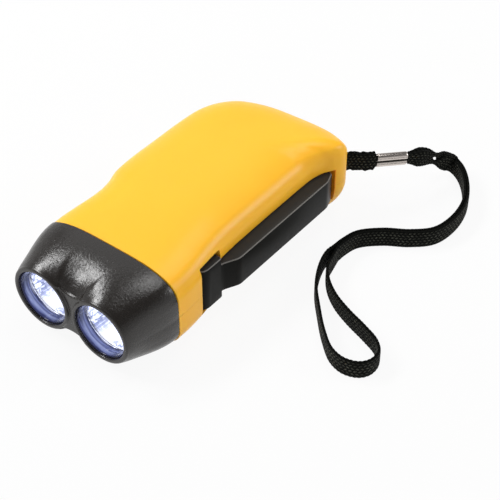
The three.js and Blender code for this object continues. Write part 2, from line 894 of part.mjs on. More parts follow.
function reflector(x) {
  const front = lensSetback + lensThickness + 2 * seatGap;
  const radius = reflectorBoreRadius - seatGap;
  const throat = ledRadius + seatGap;
  const bowl = reflectorDepthShares.map((share) => {
    const depth = share * reflectorLength;
    return [throat + (reflectorMouth - throat) * Math.sqrt(1 - share), front + depth];
  });
  const back = [...bowl].reverse().map(([r, y]) => [r + reflectorSkin, y]);
  back.pop();
  const profile = [...bowl, ...back, [radius, front + reflectorSkin], [radius, front]];
  return turned(profile.reverse(), x, reflectorSides);
}

function led(x) {
  const foot = lampBoardFront() - seatGap;
  const tip = foot - ledLength;
  const shoulder = foot - ledFlangeHeight;
  const profile = [
    ...ledTipShares.map(([across, back]) => [across * ledRadius, tip + back * ledRadius]),
    [ledRadius, shoulder],
    [ledFlange, shoulder],
    [ledFlange, foot],
    [0, foot],
  ];
  return turned(profile, x, smallSides);
}

function lampBoardFront() {
  return headLength + plugDepth + seatGap;
}

function lampBoard() {
  const front = lampBoardFront();
  const half = lampBoardWidth / 2;
  const up = lampBoardHeight / 2;
  return block(-half, half, front, front + boardThickness, -up, up);
}

function squeezeLever() {
  const outer = hingeX + blockOuter;
  const inner = hingeX - blockInner;
  const front = blockFrontY;
  const corner = cornerTurnShares.map((share) => {
    return along({ x: outer - blockCorner, y: front + blockCorner }, blockCorner, (share - 1) * quarterTurn);
  });
  const blockPlan = [
    new THREE.Vector2(inner, front),
    ...corner,
    new THREE.Vector2(outer, blockBackY),
    new THREE.Vector2(inner + blockChamfer, blockBackY),
    new THREE.Vector2(inner, blockBackY - blockChamfer),
  ];
  const barPlan = [
    new THREE.Vector2(leverInner, hingeY),
    new THREE.Vector2(outer, hingeY),
    new THREE.Vector2(outer, blockBackY),
    new THREE.Vector2(leverReach, blockBackY + flareRun),
    new THREE.Vector2(leverReach, leverRear - leverTipLength),
    new THREE.Vector2(leverReach - leverTipTaper, leverRear),
    new THREE.Vector2(leverInner, leverRear),
  ];
  const channelHalf = leverHalfHeight - leverChannelWall;
  const channelFront = blockBackY + blockOuter;
  const slotOuter = outer - sectorSlotWall;
  const slotBack = sectorTabEnd() + seatGap;
  const slotFront = front - overrun;
  const channelRear = leverRear - leverTipLength - leverWall;
  return prism(barPlan, -leverHalfHeight, leverHalfHeight, leverEdge)
    .add(prism(blockPlan, -blockHalfHeight, blockHalfHeight, leverEdge))
    .subtract(
      block(0, leverReach - leverWall, channelFront + flareRun, channelRear, -channelHalf, channelHalf),
    )
    .subtract(block(0, outer - leverWall, channelFront, slotBack, -channelHalf, channelHalf))
    .subtract(block(0, slotOuter, slotFront, slotBack, -sectorSlot, sectorSlot))
    .subtract(post(hinge, -overrun, overrun, pinRadius + runningGap));
}

// How far back the sector's tab reaches inside the lever.
function sectorTabEnd() {
  return blockBackY + blockOuter + leverWall + flareRun - seatGap;
}

function leverPin() {
  return post(hinge, pinBottom, pinTop, pinRadius);
}

function tipRadius(teeth, module) {
  return (module * teeth) / 2 + addendumShare * module;
}

// Points of one tooth about its middle: its flanks run straight between the involute's root and tip.
function tooth(teeth, module, middle) {
  const pitchRadius = (module * teeth) / 2;
  const pressure = THREE.MathUtils.degToRad(pressureAngle);
  const baseRadius = pitchRadius * Math.cos(pressure);
  const tip = tipRadius(teeth, module);
  const root = pitchRadius - dedendumShare * module;
  const involute = (angle) => Math.tan(angle) - angle;
  const half = Math.PI / (2 * teeth) - (backlashShare * module) / (2 * pitchRadius) + involute(pressure);
  const flank = [root, tip].map((radius) => {
    const angle = radius > baseRadius ? involute(Math.acos(baseRadius / radius)) : 0;
    return [radius, half - angle];
  });
  const rise = flank.map(([radius, angle]) => polar(radius, middle - angle));
  const fall = [...flank].reverse().map(([radius, angle]) => polar(radius, middle + angle));
  return [...rise, ...fall];
}

function polar(radius, angle) {
  return new THREE.Vector2(radius * Math.cos(angle), radius * Math.sin(angle));
}

// A whole gear at a place, one tooth pointing along the first angle in degrees.
function gear(place, teeth, module, firstDegrees, zLow, zHigh) {
  const first = THREE.MathUtils.degToRad(firstDegrees);
  const outline = Array.from({ length: teeth }, (_, i) => {
    return tooth(teeth, module, first + (2 * Math.PI * i) / teeth);
  }).flat();
  const placed = outline.map((point) => point.add(place));
  return prism(placed, zLow, zHigh);
}

// The first tooth's angle on a gear that meets a tooth coming from another gear.
function meshing(degrees, teeth) {
  return degrees + 180 + 180 / teeth;
}

// A fan of teeth about the hinge. It covers the lever's swing from the shut to the open side.
function driveSector() {
  const pitch = 360 / sectorTeeth;
  const angles = Array.from({ length: sectorToothCount }, (_, i) => meshAngle + (i - 1) * pitch);
  const arc = angles.flatMap((degrees) => {
    return tooth(sectorTeeth, sectorModule, THREE.MathUtils.degToRad(degrees));
  });
  const low = THREE.MathUtils.degToRad(angles[0] - pitch / 2);
  const high = THREE.MathUtils.degToRad(angles.at(-1) + pitch / 2);
  const root = (sectorModule * sectorTeeth) / 2 - dedendumShare * sectorModule;
  const sides = [low, high].map((angle) => [polar(sectorHub, angle), polar(root, angle)]);
  const outline = [...sides[0], ...arc, ...sides[1].reverse()];
  const placed = outline.map((point) => point.add(hinge));
  const half = sectorHalfThickness;
  const outer = hingeX + blockOuter - sectorSlotWall - seatGap;
  const middle = (angles[0] + angles.at(-1)) / 2;
  const windowPlace = along(hinge, root * windowPlaceShare, middle);
  return prism(placed, -half, half)
    .add(post(hinge, -half, half, sectorHub))
    .add(block(leverInner + seatGap, outer - seatGap, hingeY, sectorTabEnd(), -half, half))
    .subtract(post(windowPlace, -overrun, overrun, root * windowShare))
    .subtract(block(outer, overrun, 0, bodyLength, -overrun, overrun))
    .subtract(post(hinge, -overrun, overrun, pinRadius + runningGap));
}

// A wheel and a pinion on one hub, which turns on an axle.
function firstGear() {
  const pinionHalf = sectorHalfThickness + pinionOverlap;
  const wheelTop = secondLevel + wheelThickness;
  return gear(gear1, driveTeeth, sectorModule, meshing(meshAngle, driveTeeth), -pinionHalf, secondLevel)
    .add(gear(gear1, secondWheelTeeth, secondModule, secondAngle, secondLevel, wheelTop))
    .add(post(gear1, secondLevel, hubTop, hubRadius))
    .subtract(post(gear1, -overrun, overrun, axleRadius + runningGap));
}

function secondGear() {
  const pinionBottom = secondLevel - pinionOverlap;
  const wheelTop = thirdLevel + wheelThickness - runningGap;
  const pinionTurn = meshing(secondAngle, secondPinionTeeth);
  return gear(gear2, secondPinionTeeth, secondModule, pinionTurn, pinionBottom, thirdLevel)
    .add(gear(gear2, thirdWheelTeeth, thirdModule, thirdAngle, thirdLevel, wheelTop))
    .add(post(gear2, thirdLevel, hubTop, hubRadius))
    .subtract(post(gear2, -overrun, overrun, axleRadius + runningGap));
}

function gearAxle(place) {
  return post(place, axleBottom, plateTop - seatGap, axleRadius);
}

function rotorPinion() {
  const bottom = flywheelThickness / 2 + seatGap;
  const toothBottom = thirdLevel - pinionOverlap;
  return gear(rotor, rotorTeeth, thirdModule, meshing(thirdAngle, rotorTeeth), toothBottom, hubTop)
    .add(post(rotor, bottom, toothBottom + pinionOverlap, hubRadius))
    .subtract(post(rotor, -overrun, overrun, shaftRadius + runningGap));
}

function rotorShaft() {
  return post(rotor, axleBottom, plateTop - seatGap, shaftRadius);
}

// A weighted rim on spokes.
function flywheel() {
  const half = flywheelThickness / 2;
  let wheel = post(rotor, -half, half, flywheelRadius, roundSides);
  const windowRadius = flywheelRadius * windowShare;
  for (const degrees of [0, 90, 180, 270]) {
    const place = along(rotor, flywheelRadius * spokeShare, degrees);
    wheel = wheel.subtract(post(place, -overrun, overrun, windowRadius, smallSides));
  }
  return wheel.subtract(post(rotor, -overrun, overrun, shaftRadius + runningGap));
}

function rotorMagnet() {
  return post(rotor, magnetTop - magnetHeight, magnetTop, magnetRadius, roundSides).subtract(
    post(rotor, -overrun, overrun, shaftRadius + runningGap),
  );
}

// A U of stacked laminations: two poles beside the magnet, and a back bar that carries the coil.
function statorCore() {
  const front = rotor.y - coreFront;
  const back = rotor.y + coreBack;
  const zLow = coreTop - coreThickness;
  const full = block(rotor.x - coreOuter, rotor.x + coreOuter, front, back, zLow, coreTop);
  const hollowHalf = coreInner - seatGap;
  const hollow = block(
    rotor.x - hollowHalf,
    rotor.x + hollowHalf,
    front - overrun,
    back - coreWidth,
    -overrun,
    overrun,
  );
  return full.subtract(hollow).subtract(post(rotor, -overrun, overrun, coreInner, roundSides));
}

// A bar across X between the core's arms, round in section.
function acrossCore(radius, xLow, xHigh, sides) {
  const round = new THREE.CylinderGeometry(radius, radius, xHigh - xLow, sides);
  round.rotateZ(Math.PI / 2);
  round.translate((xLow + xHigh) / 2, rotor.y + coreBack - coreWidth / 2, coreTop - coreThickness / 2);
  return solid(round);
}

function coilEnds() {
  const half = coreInner - 2 * seatGap;
  return [rotor.x - half, rotor.x + half];
}

function coreHole() {
  const back = rotor.y + coreBack;
  const low = coreTop - coreThickness - seatGap;
  return block(-overrun, overrun, back - coreWidth - seatGap, back + seatGap, low, coreTop + seatGap);
}

function coilBobbin() {
  const [low, high] = coilEnds();
  const tube = bobbinTube;
  return acrossCore(bobbinFlange, low, low + bobbinFlangeThickness, roundSides)
    .add(acrossCore(bobbinFlange, high - bobbinFlangeThickness, high, roundSides))
    .add(acrossCore(tube, low, high, smallSides))
    .subtract(coreHole());
}

function coilWinding() {
  const [low, high] = coilEnds();
  const tube = bobbinTube + runningGap;
  const ends = bobbinFlangeThickness + seatGap;
  return acrossCore(windingRadius, low + ends, high - ends, roundSides).subtract(
    acrossCore(tube, low, high, smallSides),
  );
}

function gearPlate() {
  const corners = [
    new THREE.Vector2(gear1.x + hubRadius, gear1.y - hubRadius),
    plateScrews[1],
    plateScrews[2],
    plateScrews[3],
    plateScrews[0],
  ];
  const middle = corners.reduce((sum, corner) => sum.add(corner), new THREE.Vector2());
  middle.divideScalar(corners.length);
  const outline = corners.map((corner) => {
    const away = corner.clone().sub(middle);
    return away.setLength(away.length() + plateMargin).add(middle);
  });
  let plate = prism(outline, plateBottom, plateTop).intersect(seatCase);
  for (const place of caseScrews) {
    plate = plate.subtract(post(place, 0, overrun, screwPost + seatGap));
  }
  for (const place of [gear1, gear2]) {
    plate = plate.subtract(post(place, 0, overrun, axleRadius + runningGap));
  }
  plate = plate.subtract(post(rotor, 0, overrun, shaftRadius + runningGap));
  for (const place of plateScrews) {
    plate = plate.subtract(post(place, 0, overrun, plateScrewRadius + seatGap));
  }
  return plate;
}

function plateScrew(place) {
  const head = plateTop + seatGap;
  return post(place, head, head + plateScrewHeadHeight, plateScrewHead).add(
    post(place, plateTop - plateScrewLength, head + plateScrewHeadHeight / 2, plateScrewRadius, smallSides),
  );
}

function caseScrew(place) {
  const seat = -screwSeat - seatGap;
  return post(place, seat - screwHeadHeight, seat, screwHeadRadius).add(
    post(place, seat - screwHeadHeight / 2, screwLength - screwSeat, screwRadius, smallSides),
  );
}

function batteryCell(index) {
  const bottom = -cellTop + index * (cellHeight + seatGap);
  return post(cellPlace, bottom, bottom + cellHeight, cellRadius, roundSides);
}

function slideSwitch() {
  const low = -switchBodyX - switchBodyDepth;
  const half = switchBodyLength / 2;
  const middle = switchY + switchTravel / 2;
  const up = switchBodyHeight / 2;
  return block(low, -switchBodyX, middle - half, middle + half, -up, up);
}

function switchSlider() {
  const floor = -switchPocket - seatGap;
  const top = floor - switchCapThickness;
  const half = switchCapLength / 2;
  const up = switchCapHeight / 2;
  const stem = switchStem / 2;
  const stemEnd = -switchBodyX - switchBodyDepth - seatGap;
  let slider = block(top, floor, switchY - half, switchY + half, -up, up).add(
    block(floor - seatGap, stemEnd, switchY - stem, switchY + stem, -stem, stem),
  );
  for (const share of ridgeShares) {
    const y = switchY + share * half;
    slider = slider.add(block(top - gripRidge, floor, y - gripRidge, y + gripRidge, -up, up));
  }
  return slider;
}

function lockSlider() {
  const floor = -catchFloor - seatGap;
  const top = floor - catchCapThickness;
  const halfX = catchCapWidth / 2;
  const halfY = catchCapLength / 2;
  const stemX = catchTongueWidth / 2;
  const stemY = catchTongueLength / 2;
  let slider = block(catchX - halfX, catchX + halfX, catchY - halfY, catchY + halfY, top, floor).add(
    block(catchX - stemX, catchX + stemX, catchY - stemY, catchY + stemY, floor - seatGap, -catchTongueTop),
  );
  const reach = leverInner - seatGap;
  const hookBottom = -catchTongueTop - catchHookHeight;
  slider = slider.add(
    block(catchX, reach, catchY - stemY, catchY + stemY, hookBottom, -catchTongueTop),
  );
  return slider;
}

// A torsion spring: a short leg at its foot, its turns, and a long leg at its head that pushes the lever.
function returnSpring() {
  const centre = new THREE.Vector3(springX, springY, springBottom);
  const steps = springTurns * springSteps;
  const points = [new THREE.Vector3(springX - springRadius, springY - springPostLeg, springBottom)];
  for (let i = 0; i <= steps + springSteps / 2; i += 1) {
    const angle = Math.PI - (2 * Math.PI * i) / springSteps;
    const height = springBottom + (springPitch * i) / springSteps;
    points.push(
      new THREE.Vector3(
        centre.x + springRadius * Math.cos(angle),
        centre.y + springRadius * Math.sin(angle),
        height,
      ),
    );
  }
  const head = points.at(-1);
  points.push(new THREE.Vector3(leverInner - springWire - seatGap, head.y + springLeverLeg, head.z));
  const wire = polygon(springWire, wireSides);
  return sweep(points, wire, points.length - 1);
}

function polygon(radius, sides) {
  return Array.from({ length: sides }, (_, i) => polar(radius, (2 * Math.PI * i) / sides));
}

// A section carried along a smooth line through points, its first direction kept upright.
function sweep(points, section, steps) {
  const path = new THREE.CatmullRomCurve3(points, false, "centripetal");
  path.computeFrenetFrames = (segments) => {
    const frames = { tangents: [], normals: [], binormals: [] };
    for (let i = 0; i <= segments; i += 1) {
      const tangent = path.getTangentAt(i / segments);
      const across = new THREE.Vector3(0, 0, 1).cross(tangent).normalize();
      frames.tangents.push(tangent);
      frames.binormals.push(across);
      frames.normals.push(across.clone().cross(tangent));
    }
    return frames;
  };
  const geometry = new THREE.ExtrudeGeometry(new THREE.Shape(section), { steps, extrudePath: path });
  return solid(geometry);
}

function chargeBoard() {
  const half = chargeBoardLength / 2;
  const up = chargeBoardHeight / 2;
  const high = chargeBoardX + chargeBoardThickness;
  return block(chargeBoardX, high, chargeBoardY - half, chargeBoardY + half, -up, up);
}

function strapPin() {
  return post(strapPinPlace, strapPinBottom(), strapPinTop(), strapPinRadius);
}

// A flat tape on its edge: eight corners, its height first and its thickness second.
function tapeSection(height, thickness) {
  const h = height / 2;
  const t = thickness / 2;
  const edge = thickness / 4;
  return [
    new THREE.Vector2(h, t - edge),
    new THREE.Vector2(h - edge, t),
    new THREE.Vector2(edge - h, t),
    new THREE.Vector2(-h, t - edge),
    new THREE.Vector2(-h, edge - t),
    new THREE.Vector2(edge - h, -t),
    new THREE.Vector2(h - edge, -t),
    new THREE.Vector2(h, edge - t),
  ];
}

function route(points) {
  return points.map(([x, back, z]) => new THREE.Vector3(x, bodyLength + back, z));
}

function strapStretch(points, layers, steps) {
  return sweep(route(points), tapeSection(strapWidth, layers * strapThickness), steps);
}

// A metal sleeve pressed round both layers of the strap, pinched in the middle of its height.
function strapCrimp() {
  const [start, end] = route(crimpRoute);
  const lobe = crimpHeight / 2 - crimpLobe;
  const side = crimpThickness / 2;
  const section = [
    new THREE.Vector2(crimpHeight / 2, side - crimpLobe),
    new THREE.Vector2(crimpHeight / 2 - crimpLobe / 3, side - crimpLobe / 4),
    new THREE.Vector2(lobe, side),
    new THREE.Vector2(0, side - crimpLobe / 3),
    new THREE.Vector2(-lobe, side),
    new THREE.Vector2(crimpLobe / 3 - crimpHeight / 2, side - crimpLobe / 4),
    new THREE.Vector2(-crimpHeight / 2, side - crimpLobe),
  ];
  const back = section.map((point) => new THREE.Vector2(point.x, -point.y)).reverse();
  return sweep([start, end], [...section, ...back], 1);
}

// The assembly

const torch = new THREE.Group();

function addPiece(name, made, finish) {
  const mesh = made.getMesh();
  const geometry = new THREE.BufferGeometry();
  geometry.setAttribute("position", new THREE.BufferAttribute(mesh.vertProperties, 3));
  geometry.setIndex(new THREE.BufferAttribute(mesh.triVerts, 1));
  geometry.computeVertexNormals();
  const [color, roughness, metalness] = finishes[finish];
  const material = new THREE.MeshStandardMaterial({ color, roughness, metalness });
  const piece = new THREE.Mesh(geometry, material);
  piece.name = name;
  torch.add(piece);
}

addPiece("upper_case", upperCase(), "yellow");
addPiece("lower_case", lowerCase(), "yellow");
addPiece("lamp_head", lampHead(), "headBlack");
for (const [side, x] of [
  ["left", -lampX],
  ["right", lampX],
]) {
  addPiece(`lens_${side}`, lens(x), "clear");
  addPiece(`reflector_${side}`, reflector(x), "mirror");
  addPiece(`led_${side}`, led(x), "ledClear");
}
addPiece("lamp_board", lampBoard(), "board");
addPiece("squeeze_lever", squeezeLever(), "leverBlack");
addPiece("lever_pin", leverPin(), "steel");
addPiece("drive_sector", driveSector(), "acetal");
addPiece("return_spring", returnSpring(), "steel");
addPiece("gear_1", firstGear(), "acetal");
addPiece("gear_1_axle", gearAxle(gear1), "steel");
addPiece("gear_2", secondGear(), "acetal");
addPiece("gear_2_axle", gearAxle(gear2), "steel");
addPiece("rotor_pinion", rotorPinion(), "acetal");
addPiece("rotor_shaft", rotorShaft(), "steel");
addPiece("flywheel", flywheel(), "brass");
addPiece("rotor_magnet", rotorMagnet(), "ferrite");
addPiece("stator_core", statorCore(), "laminate");
addPiece("coil_bobbin", coilBobbin(), "bobbin");
addPiece("coil_winding", coilWinding(), "copper");
addPiece("gear_plate", gearPlate(), "acetal");
plateScrews.forEach((place, i) => addPiece(`plate_screw_${i + 1}`, plateScrew(place), "steel"));
caseScrews.forEach((place, i) => addPiece(`case_screw_${i + 1}`, caseScrew(place), "steel"));
for (let index = 0; index < cellCount; index += 1) {
  addPiece(`battery_cell_${index + 1}`, batteryCell(index), "cell");
}
addPiece("slide_switch", slideSwitch(), "steel");
addPiece("switch_slider", switchSlider(), "switchBlack");
addPiece("lock_slider", lockSlider(), "switchBlack");
addPiece("charge_board", chargeBoard(), "board");
addPiece("strap_pin", strapPin(), "steel");
addPiece("strap_root", strapStretch(strapRootRoute, 2, 5), "strap");
addPiece("strap_crimp", strapCrimp(), "crimp");
addPiece("strap_stem", strapStretch(strapStemRoute, 2, 26), "strap");
addPiece("strap_loop", strapStretch(strapLoopRoute, 1, 28), "strap");

// The frame: the middle of the torch without its strap, at the surface that it lies on.
const plainReach = Math.max(...caseOutline(outerSteps).map((point) => -point.x));
torch.position.set((plainReach - leverReach) / 2, -bodyLength / 2, underside);

export default torch;
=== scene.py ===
import math
from functools import partial

import bmesh
import bpy
import numpy as np
from bpy.props import FloatProperty, FloatVectorProperty, PointerProperty
from mathutils import Matrix, Vector


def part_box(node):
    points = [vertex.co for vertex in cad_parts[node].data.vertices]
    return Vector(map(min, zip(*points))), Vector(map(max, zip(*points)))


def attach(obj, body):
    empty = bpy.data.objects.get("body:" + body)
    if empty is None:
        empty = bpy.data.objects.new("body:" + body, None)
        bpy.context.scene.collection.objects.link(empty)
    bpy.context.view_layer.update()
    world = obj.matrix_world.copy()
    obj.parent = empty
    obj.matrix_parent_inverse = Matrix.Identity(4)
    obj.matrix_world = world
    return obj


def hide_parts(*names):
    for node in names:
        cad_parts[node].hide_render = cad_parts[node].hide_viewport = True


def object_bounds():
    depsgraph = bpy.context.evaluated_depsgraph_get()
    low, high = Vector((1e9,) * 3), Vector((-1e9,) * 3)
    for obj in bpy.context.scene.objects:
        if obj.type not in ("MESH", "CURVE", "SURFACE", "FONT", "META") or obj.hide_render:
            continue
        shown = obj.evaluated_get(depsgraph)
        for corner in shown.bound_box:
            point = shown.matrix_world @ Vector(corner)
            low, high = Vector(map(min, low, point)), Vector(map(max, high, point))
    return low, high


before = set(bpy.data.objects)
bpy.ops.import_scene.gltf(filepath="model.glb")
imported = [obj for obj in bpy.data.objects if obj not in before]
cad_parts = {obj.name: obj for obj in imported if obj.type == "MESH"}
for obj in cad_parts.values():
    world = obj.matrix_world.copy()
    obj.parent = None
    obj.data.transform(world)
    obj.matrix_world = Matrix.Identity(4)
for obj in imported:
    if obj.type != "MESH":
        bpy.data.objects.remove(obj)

bl_info = {
    "name": "Hand-press torch",
    "version": (1, 0, 0),
    "blender": (4, 5, 0),
    "location": "View3D > Sidebar > Torch",
    "description": "Builds a two-lamp dynamo torch with a squeeze lever and a wrist strap",
    "category": "Add Mesh",
}

# The torch is drawn in millimetres from the middle of its two lamp rims: X towards the lever,
# Y back to the tail and Z up from the line where the case halves part.
CAD_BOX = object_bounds()
LENS_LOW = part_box("lens_left")[0]
LENS_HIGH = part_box("lens_right")[1]
LAMP_MIDDLE = np.array(
    [(LENS_LOW.x + LENS_HIGH.x) / 2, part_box("lamp_head")[0].y, (LENS_LOW.z + LENS_HIGH.z) / 2]
)


def middle_of(node):
    """The middle of a CAD node's box in the torch's millimetres, to the nearest thousandth."""
    low, high = (np.array(corner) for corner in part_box(node))
    return np.round(((low + high) / 2 - LAMP_MIDDLE) * 1000, 3)


BODY_LENGTH = 102.5
HEAD_LENGTH = 18.0
GRIP_HALF_WIDTH = 25.6
GRIP_TOP = 16.0
SEAM_TOP = 14.0
UNDERSIDE = 14.0
SEAT_GAP = 0.3
LAMP_X = 11.0
MOUTH = 8.8
LENS_DISC = [(0, 4.3), (4.85, 4.43), (8.3, 4.74), (8.7, 4.8), (9.7, 4.8), (9.7, 6.3), (0, 6.3)]
LENS_SKIRT = [
    (8.62, 0.9), (8.72, 0.8), (8.92, 0.9), (8.96, 1.0),
    (8.96, 4.4), (8.55, 4.4), (8.6, 1.0), (8.62, 0.9),
]
HINGE = middle_of("lever_pin")[:2]
SLOT_END = 92.5
FAR = 70.0
SLOT = np.array([(16.0, 36.8, -6.0), (FAR, SLOT_END, 6.0)])
STRAP_PIN = middle_of("strap_pin")[:2]
SWITCH_Y = middle_of("switch_slider")[1]
CATCH = (10.0, 61.0)
SEAM_EDGE = 7.4
SEAM_CROWN = 1.8
WASH_SPREAD = 0.68
COLLAR = ((0.3, 0), (0.56, 0), (0.58, 1.4), (0.84, 1.4), (0.86, 0), (1, 0))
ARC_END = math.radians(65)

# Plan of the case from the lever side round the tail to the plain side:
# shares of the grip's half width, and of the length behind the lamp head.
CASE_OUTLINE = np.array(
    [
        (0.965, 0.0), (0.964, 0.06), (0.945, 0.13), (0.905, 0.21), (0.878, 0.3), (0.866, 0.44),
        (0.862, 0.61), (0.863, 0.73), (0.872, 0.79), (0.911, 0.838), (0.983, 0.878), (1.02, 0.913),
        (1.01, 0.942), (0.94, 0.968), (0.79, 0.987), (0.56, 0.997), (0.2, 1.0), (-0.17, 0.995),
        (-0.46, 0.973), (-0.7, 0.932), (-0.875, 0.872), (-0.972, 0.8), (-1.003, 0.71), (-1.005, 0.56),
        (-1.0, 0.4), (-0.975, 0.335), (-0.925, 0.29), (-0.898, 0.24), (-0.908, 0.185), (-0.948, 0.115),
        (-0.975, 0.05), (-0.972, 0.0),
    ]
)
CASE_SCREWS = [middle_of(f"case_screw_{i}")[:2] for i in range(1, 6)]

# The strap's route from the tail to where its two layers part, and the open loop. The neck is the
# pinched place behind the crimp, where the two layers cross and leave a small gap.
STRAP_STEM = [
    (19.9, 98.9, 1.6), (21.3, 102.0, 1.5), (23.8, 104.7, 1.2), (26.5, 107.0, 0.9), (28.75, 109.65, 0.6),
    (29.0, 110.0, 0.55), (34.9, 118.3, -0.75), (35.1, 118.6, -0.8), (36.2, 120.3, -1.1),
    (38.2, 124.2, -2.4), (40.2, 128.7, -5.0), (41.3, 132.7, -7.9), (42.9, 135.1, -9.9),
    (46.6, 133.8, -10.55), (51.9, 128.5, -10.72), (56.6, 120.1, -10.75), (58.2, 110.5, -10.75),
    (56.6, 102.1, -10.75), (51.3, 96.5, -10.75), (44.4, 92.0, -10.75), (38.8, 86.1, -10.75),
    (37.4, 80.6, -10.75), (37.17, 76.9, -10.75),
]
STRAP_LOOP = [
    (36.65, 77.1, -10.75), (36.3, 73.4, -10.75), (37.9, 67.5, -10.75), (41.8, 60.2, -10.75),
    (48.4, 52.5, -10.75), (54.8, 45.9, -10.75), (60.9, 41.1, -10.75), (65.8, 39.9, -10.75),
    (70.1, 41.3, -10.75), (72.1, 44.2, -10.75), (71.9, 48.4, -10.75), (69.0, 51.5, -10.75),
    (63.3, 54.0, -10.75), (55.9, 56.6, -10.75), (49.4, 59.6, -10.75), (43.9, 63.7, -10.75),
    (40.2, 68.4, -10.75), (38.7, 73.4, -10.75), (37.75, 77.1, -10.75),
]
CRIMP_ENDS = ((29.0, 110.0, 0.55), (34.9, 118.3, -0.75))
NECK_BEHIND_CRIMP = 11.9
SCALLOP = 0.2
LINE_STEP = 0.25

# Softboxes: where each stands as a direction from the torch, its side in metres and its share.
SOFTBOX_AWAY = 0.75
SOFTBOXES = (
    ("softbox_left_front", (-0.60, -0.42, 0.72), 0.19, 2.5),
    ("softbox_left", (-0.65, -0.08, 0.75), 0.17, 2.0),
    ("softbox_top_back", (-0.50, 0.50, 0.72), 0.5, 0.6),
    ("softbox_overhead", (0.05, 0.30, 0.95), 0.3, 1.4),
    ("softbox_right_back", (0.66, 0.60, 0.44), 0.25, 1.7),
    ("softbox_front", (0.35, -0.85, 0.45), 0.5, 0.3),
)


# Shapes


def placed(points):
    """Points in millimetres from the middle of the lamp rims, as metres in the torch's frame."""
    return np.asarray(points, float) / 1000 + LAMP_MIDDLE


def smoothstep(value, low, high):
    """Rises from 0 at low to 1 at high as three t squared less two t cubed."""
    t = np.clip((value - low) / (high - low), 0, 1)
    return t * t * (3 - 2 * t)


def bell(value, middle, width):
    """Falls from 1 at the middle to either side as e to the minus square of the distance in widths."""
    return np.exp(-(((value - middle) / width) ** 2))


def unit(vectors):
    """Vectors turned into vectors of length one, each divided by the root of its squares' sum."""
    return vectors / np.maximum(np.linalg.norm(vectors, axis=-1, keepdims=True), 1e-12)


def domed(radius, top, crown, reach, turn, share, inset=0.0):
    """Half a section of the case, as depths from its upright side and levels: an arc of the radius
    that turns in from the side, and a power curve that starts with the arc's last slope and rises
    by what is left of the crown to the top."""
    depth = inset + radius * (1 - np.cos(turn))
    level = top - crown - radius * (1 - np.sin(turn))
    run, rise = reach - depth[-1], top - level[-1]
    power = run / (math.tan(ARC_END) * rise)
    depth = np.vstack([depth, depth[-1] + share * run])
    return depth, np.vstack([level, level[-1] + rise * (1 - (1 - share) ** power)])


def smooth_line(points, steps):
    """A centripetal Catmull-Rom curve: between two points it is a cubic whose end slopes weigh the
    neighbouring chords by the square roots of their lengths."""
    p = np.asarray(points, float)
    p = np.vstack([2 * p[0] - p[1], p, 2 * p[-1] - p[-2]])
    root = np.sqrt(np.linalg.norm(np.diff(p, axis=0), axis=1))[:, None]
    a, b, c, d = p[:-3], p[1:-2], p[2:-1], p[3:]
    ra, rb, rc = root[:-2], root[1:-1], root[2:]
    start = ((b - a) / ra - (c - a) / (ra + rb) + (c - b) / rb) * rb
    end = ((c - b) / rb - (d - b) / (rb + rc) + (d - c) / rc) * rb
    t = np.linspace(0, 1, steps, endpoint=False)[None, :, None]
    b, c, start, end = (side[:, None, :] for side in (b, c, start, end))
    curve = (
        (2 * t**3 - 3 * t**2 + 1) * b
        + (t**3 - 2 * t**2 + t) * start
        + (3 * t**2 - 2 * t**3) * c
        + (t**3 - t**2) * end
    )
    return np.vstack([curve.reshape(-1, p.shape[1]), p[-2]])


def even_line(points, spacing):
    """The smooth line through points, sampled at even steps of its own length, with that length."""
    fine = smooth_line(points, 40)
    run = np.concatenate([[0], np.cumsum(np.linalg.norm(np.diff(fine, axis=0), axis=1))])
    at = np.linspace(0, run[-1], int(run[-1] / spacing) + 1)
    return np.stack([np.interp(at, run, fine[:, i]) for i in range(3)], 1), at


def grid_faces(rows, columns, wrap_rows=False, wrap_columns=False):
    """The quads between neighbours of a grid of rows by columns, closed round where it wraps."""
    r = np.arange(rows if wrap_rows else rows - 1)
    c = np.arange(columns if wrap_columns else columns - 1)
    r, c = (side.ravel() for side in np.meshgrid(r, c, indexing="ij"))
    below, beside = (r + 1) % rows, (c + 1) % columns
    return np.stack(
        [r * columns + c, r * columns + beside, below * columns + beside, below * columns + c], 1
    )


def tube_faces(rows, columns, start=0):
    """The faces of a stack of closed rings, with a lid on either end."""
    faces = (grid_faces(rows, columns, wrap_columns=True) + start).tolist()
    last = start + (rows - 1) * columns
    return faces + [list(range(start, start + columns)), list(range(last, last + columns))]


def piece(
    name, points, faces, materials, body=None, slot=None, replaces=(), sharp=35, weld=True, uv=None
):
    """A mesh from points in millimetres: doubles merged, faces turned outwards, smooth but for its
    edges sharper than an angle. It rides on a body and stands for the named CAD nodes."""
    mesh = bpy.data.meshes.new(name)
    mesh.from_pydata(placed(points).tolist(), [], [list(map(int, face)) for face in faces])
    if uv is not None:
        corner = np.empty(len(mesh.loops), np.int64)
        mesh.loops.foreach_get("vertex_index", corner)
        layer = mesh.uv_layers.new(name="along_and_across")
        layer.uv.foreach_set("vector", np.asarray(uv, np.float32)[corner].ravel())
    work = bmesh.new()
    work.from_mesh(mesh)
    if weld:
        bmesh.ops.remove_doubles(work, verts=work.verts, dist=1e-7)
    bmesh.ops.recalc_face_normals(work, faces=work.faces)
    work.to_mesh(mesh)
    work.free()
    made = bpy.data.objects.new(name, mesh)
    bpy.context.scene.collection.objects.link(made)
    for material in materials:
        mesh.materials.append(material)
    smooth(made, sharp)
    if body:
        finish_piece(made, body, replaces)
    return made


def smooth(made, sharp):
    """Smooth shading all over, but for edges sharper than an angle in degrees."""
    mesh = made.data
    mesh.polygons.foreach_set("use_smooth", np.ones(len(mesh.polygons), bool))
    mesh.set_sharp_from_angle(angle=math.radians(sharp))


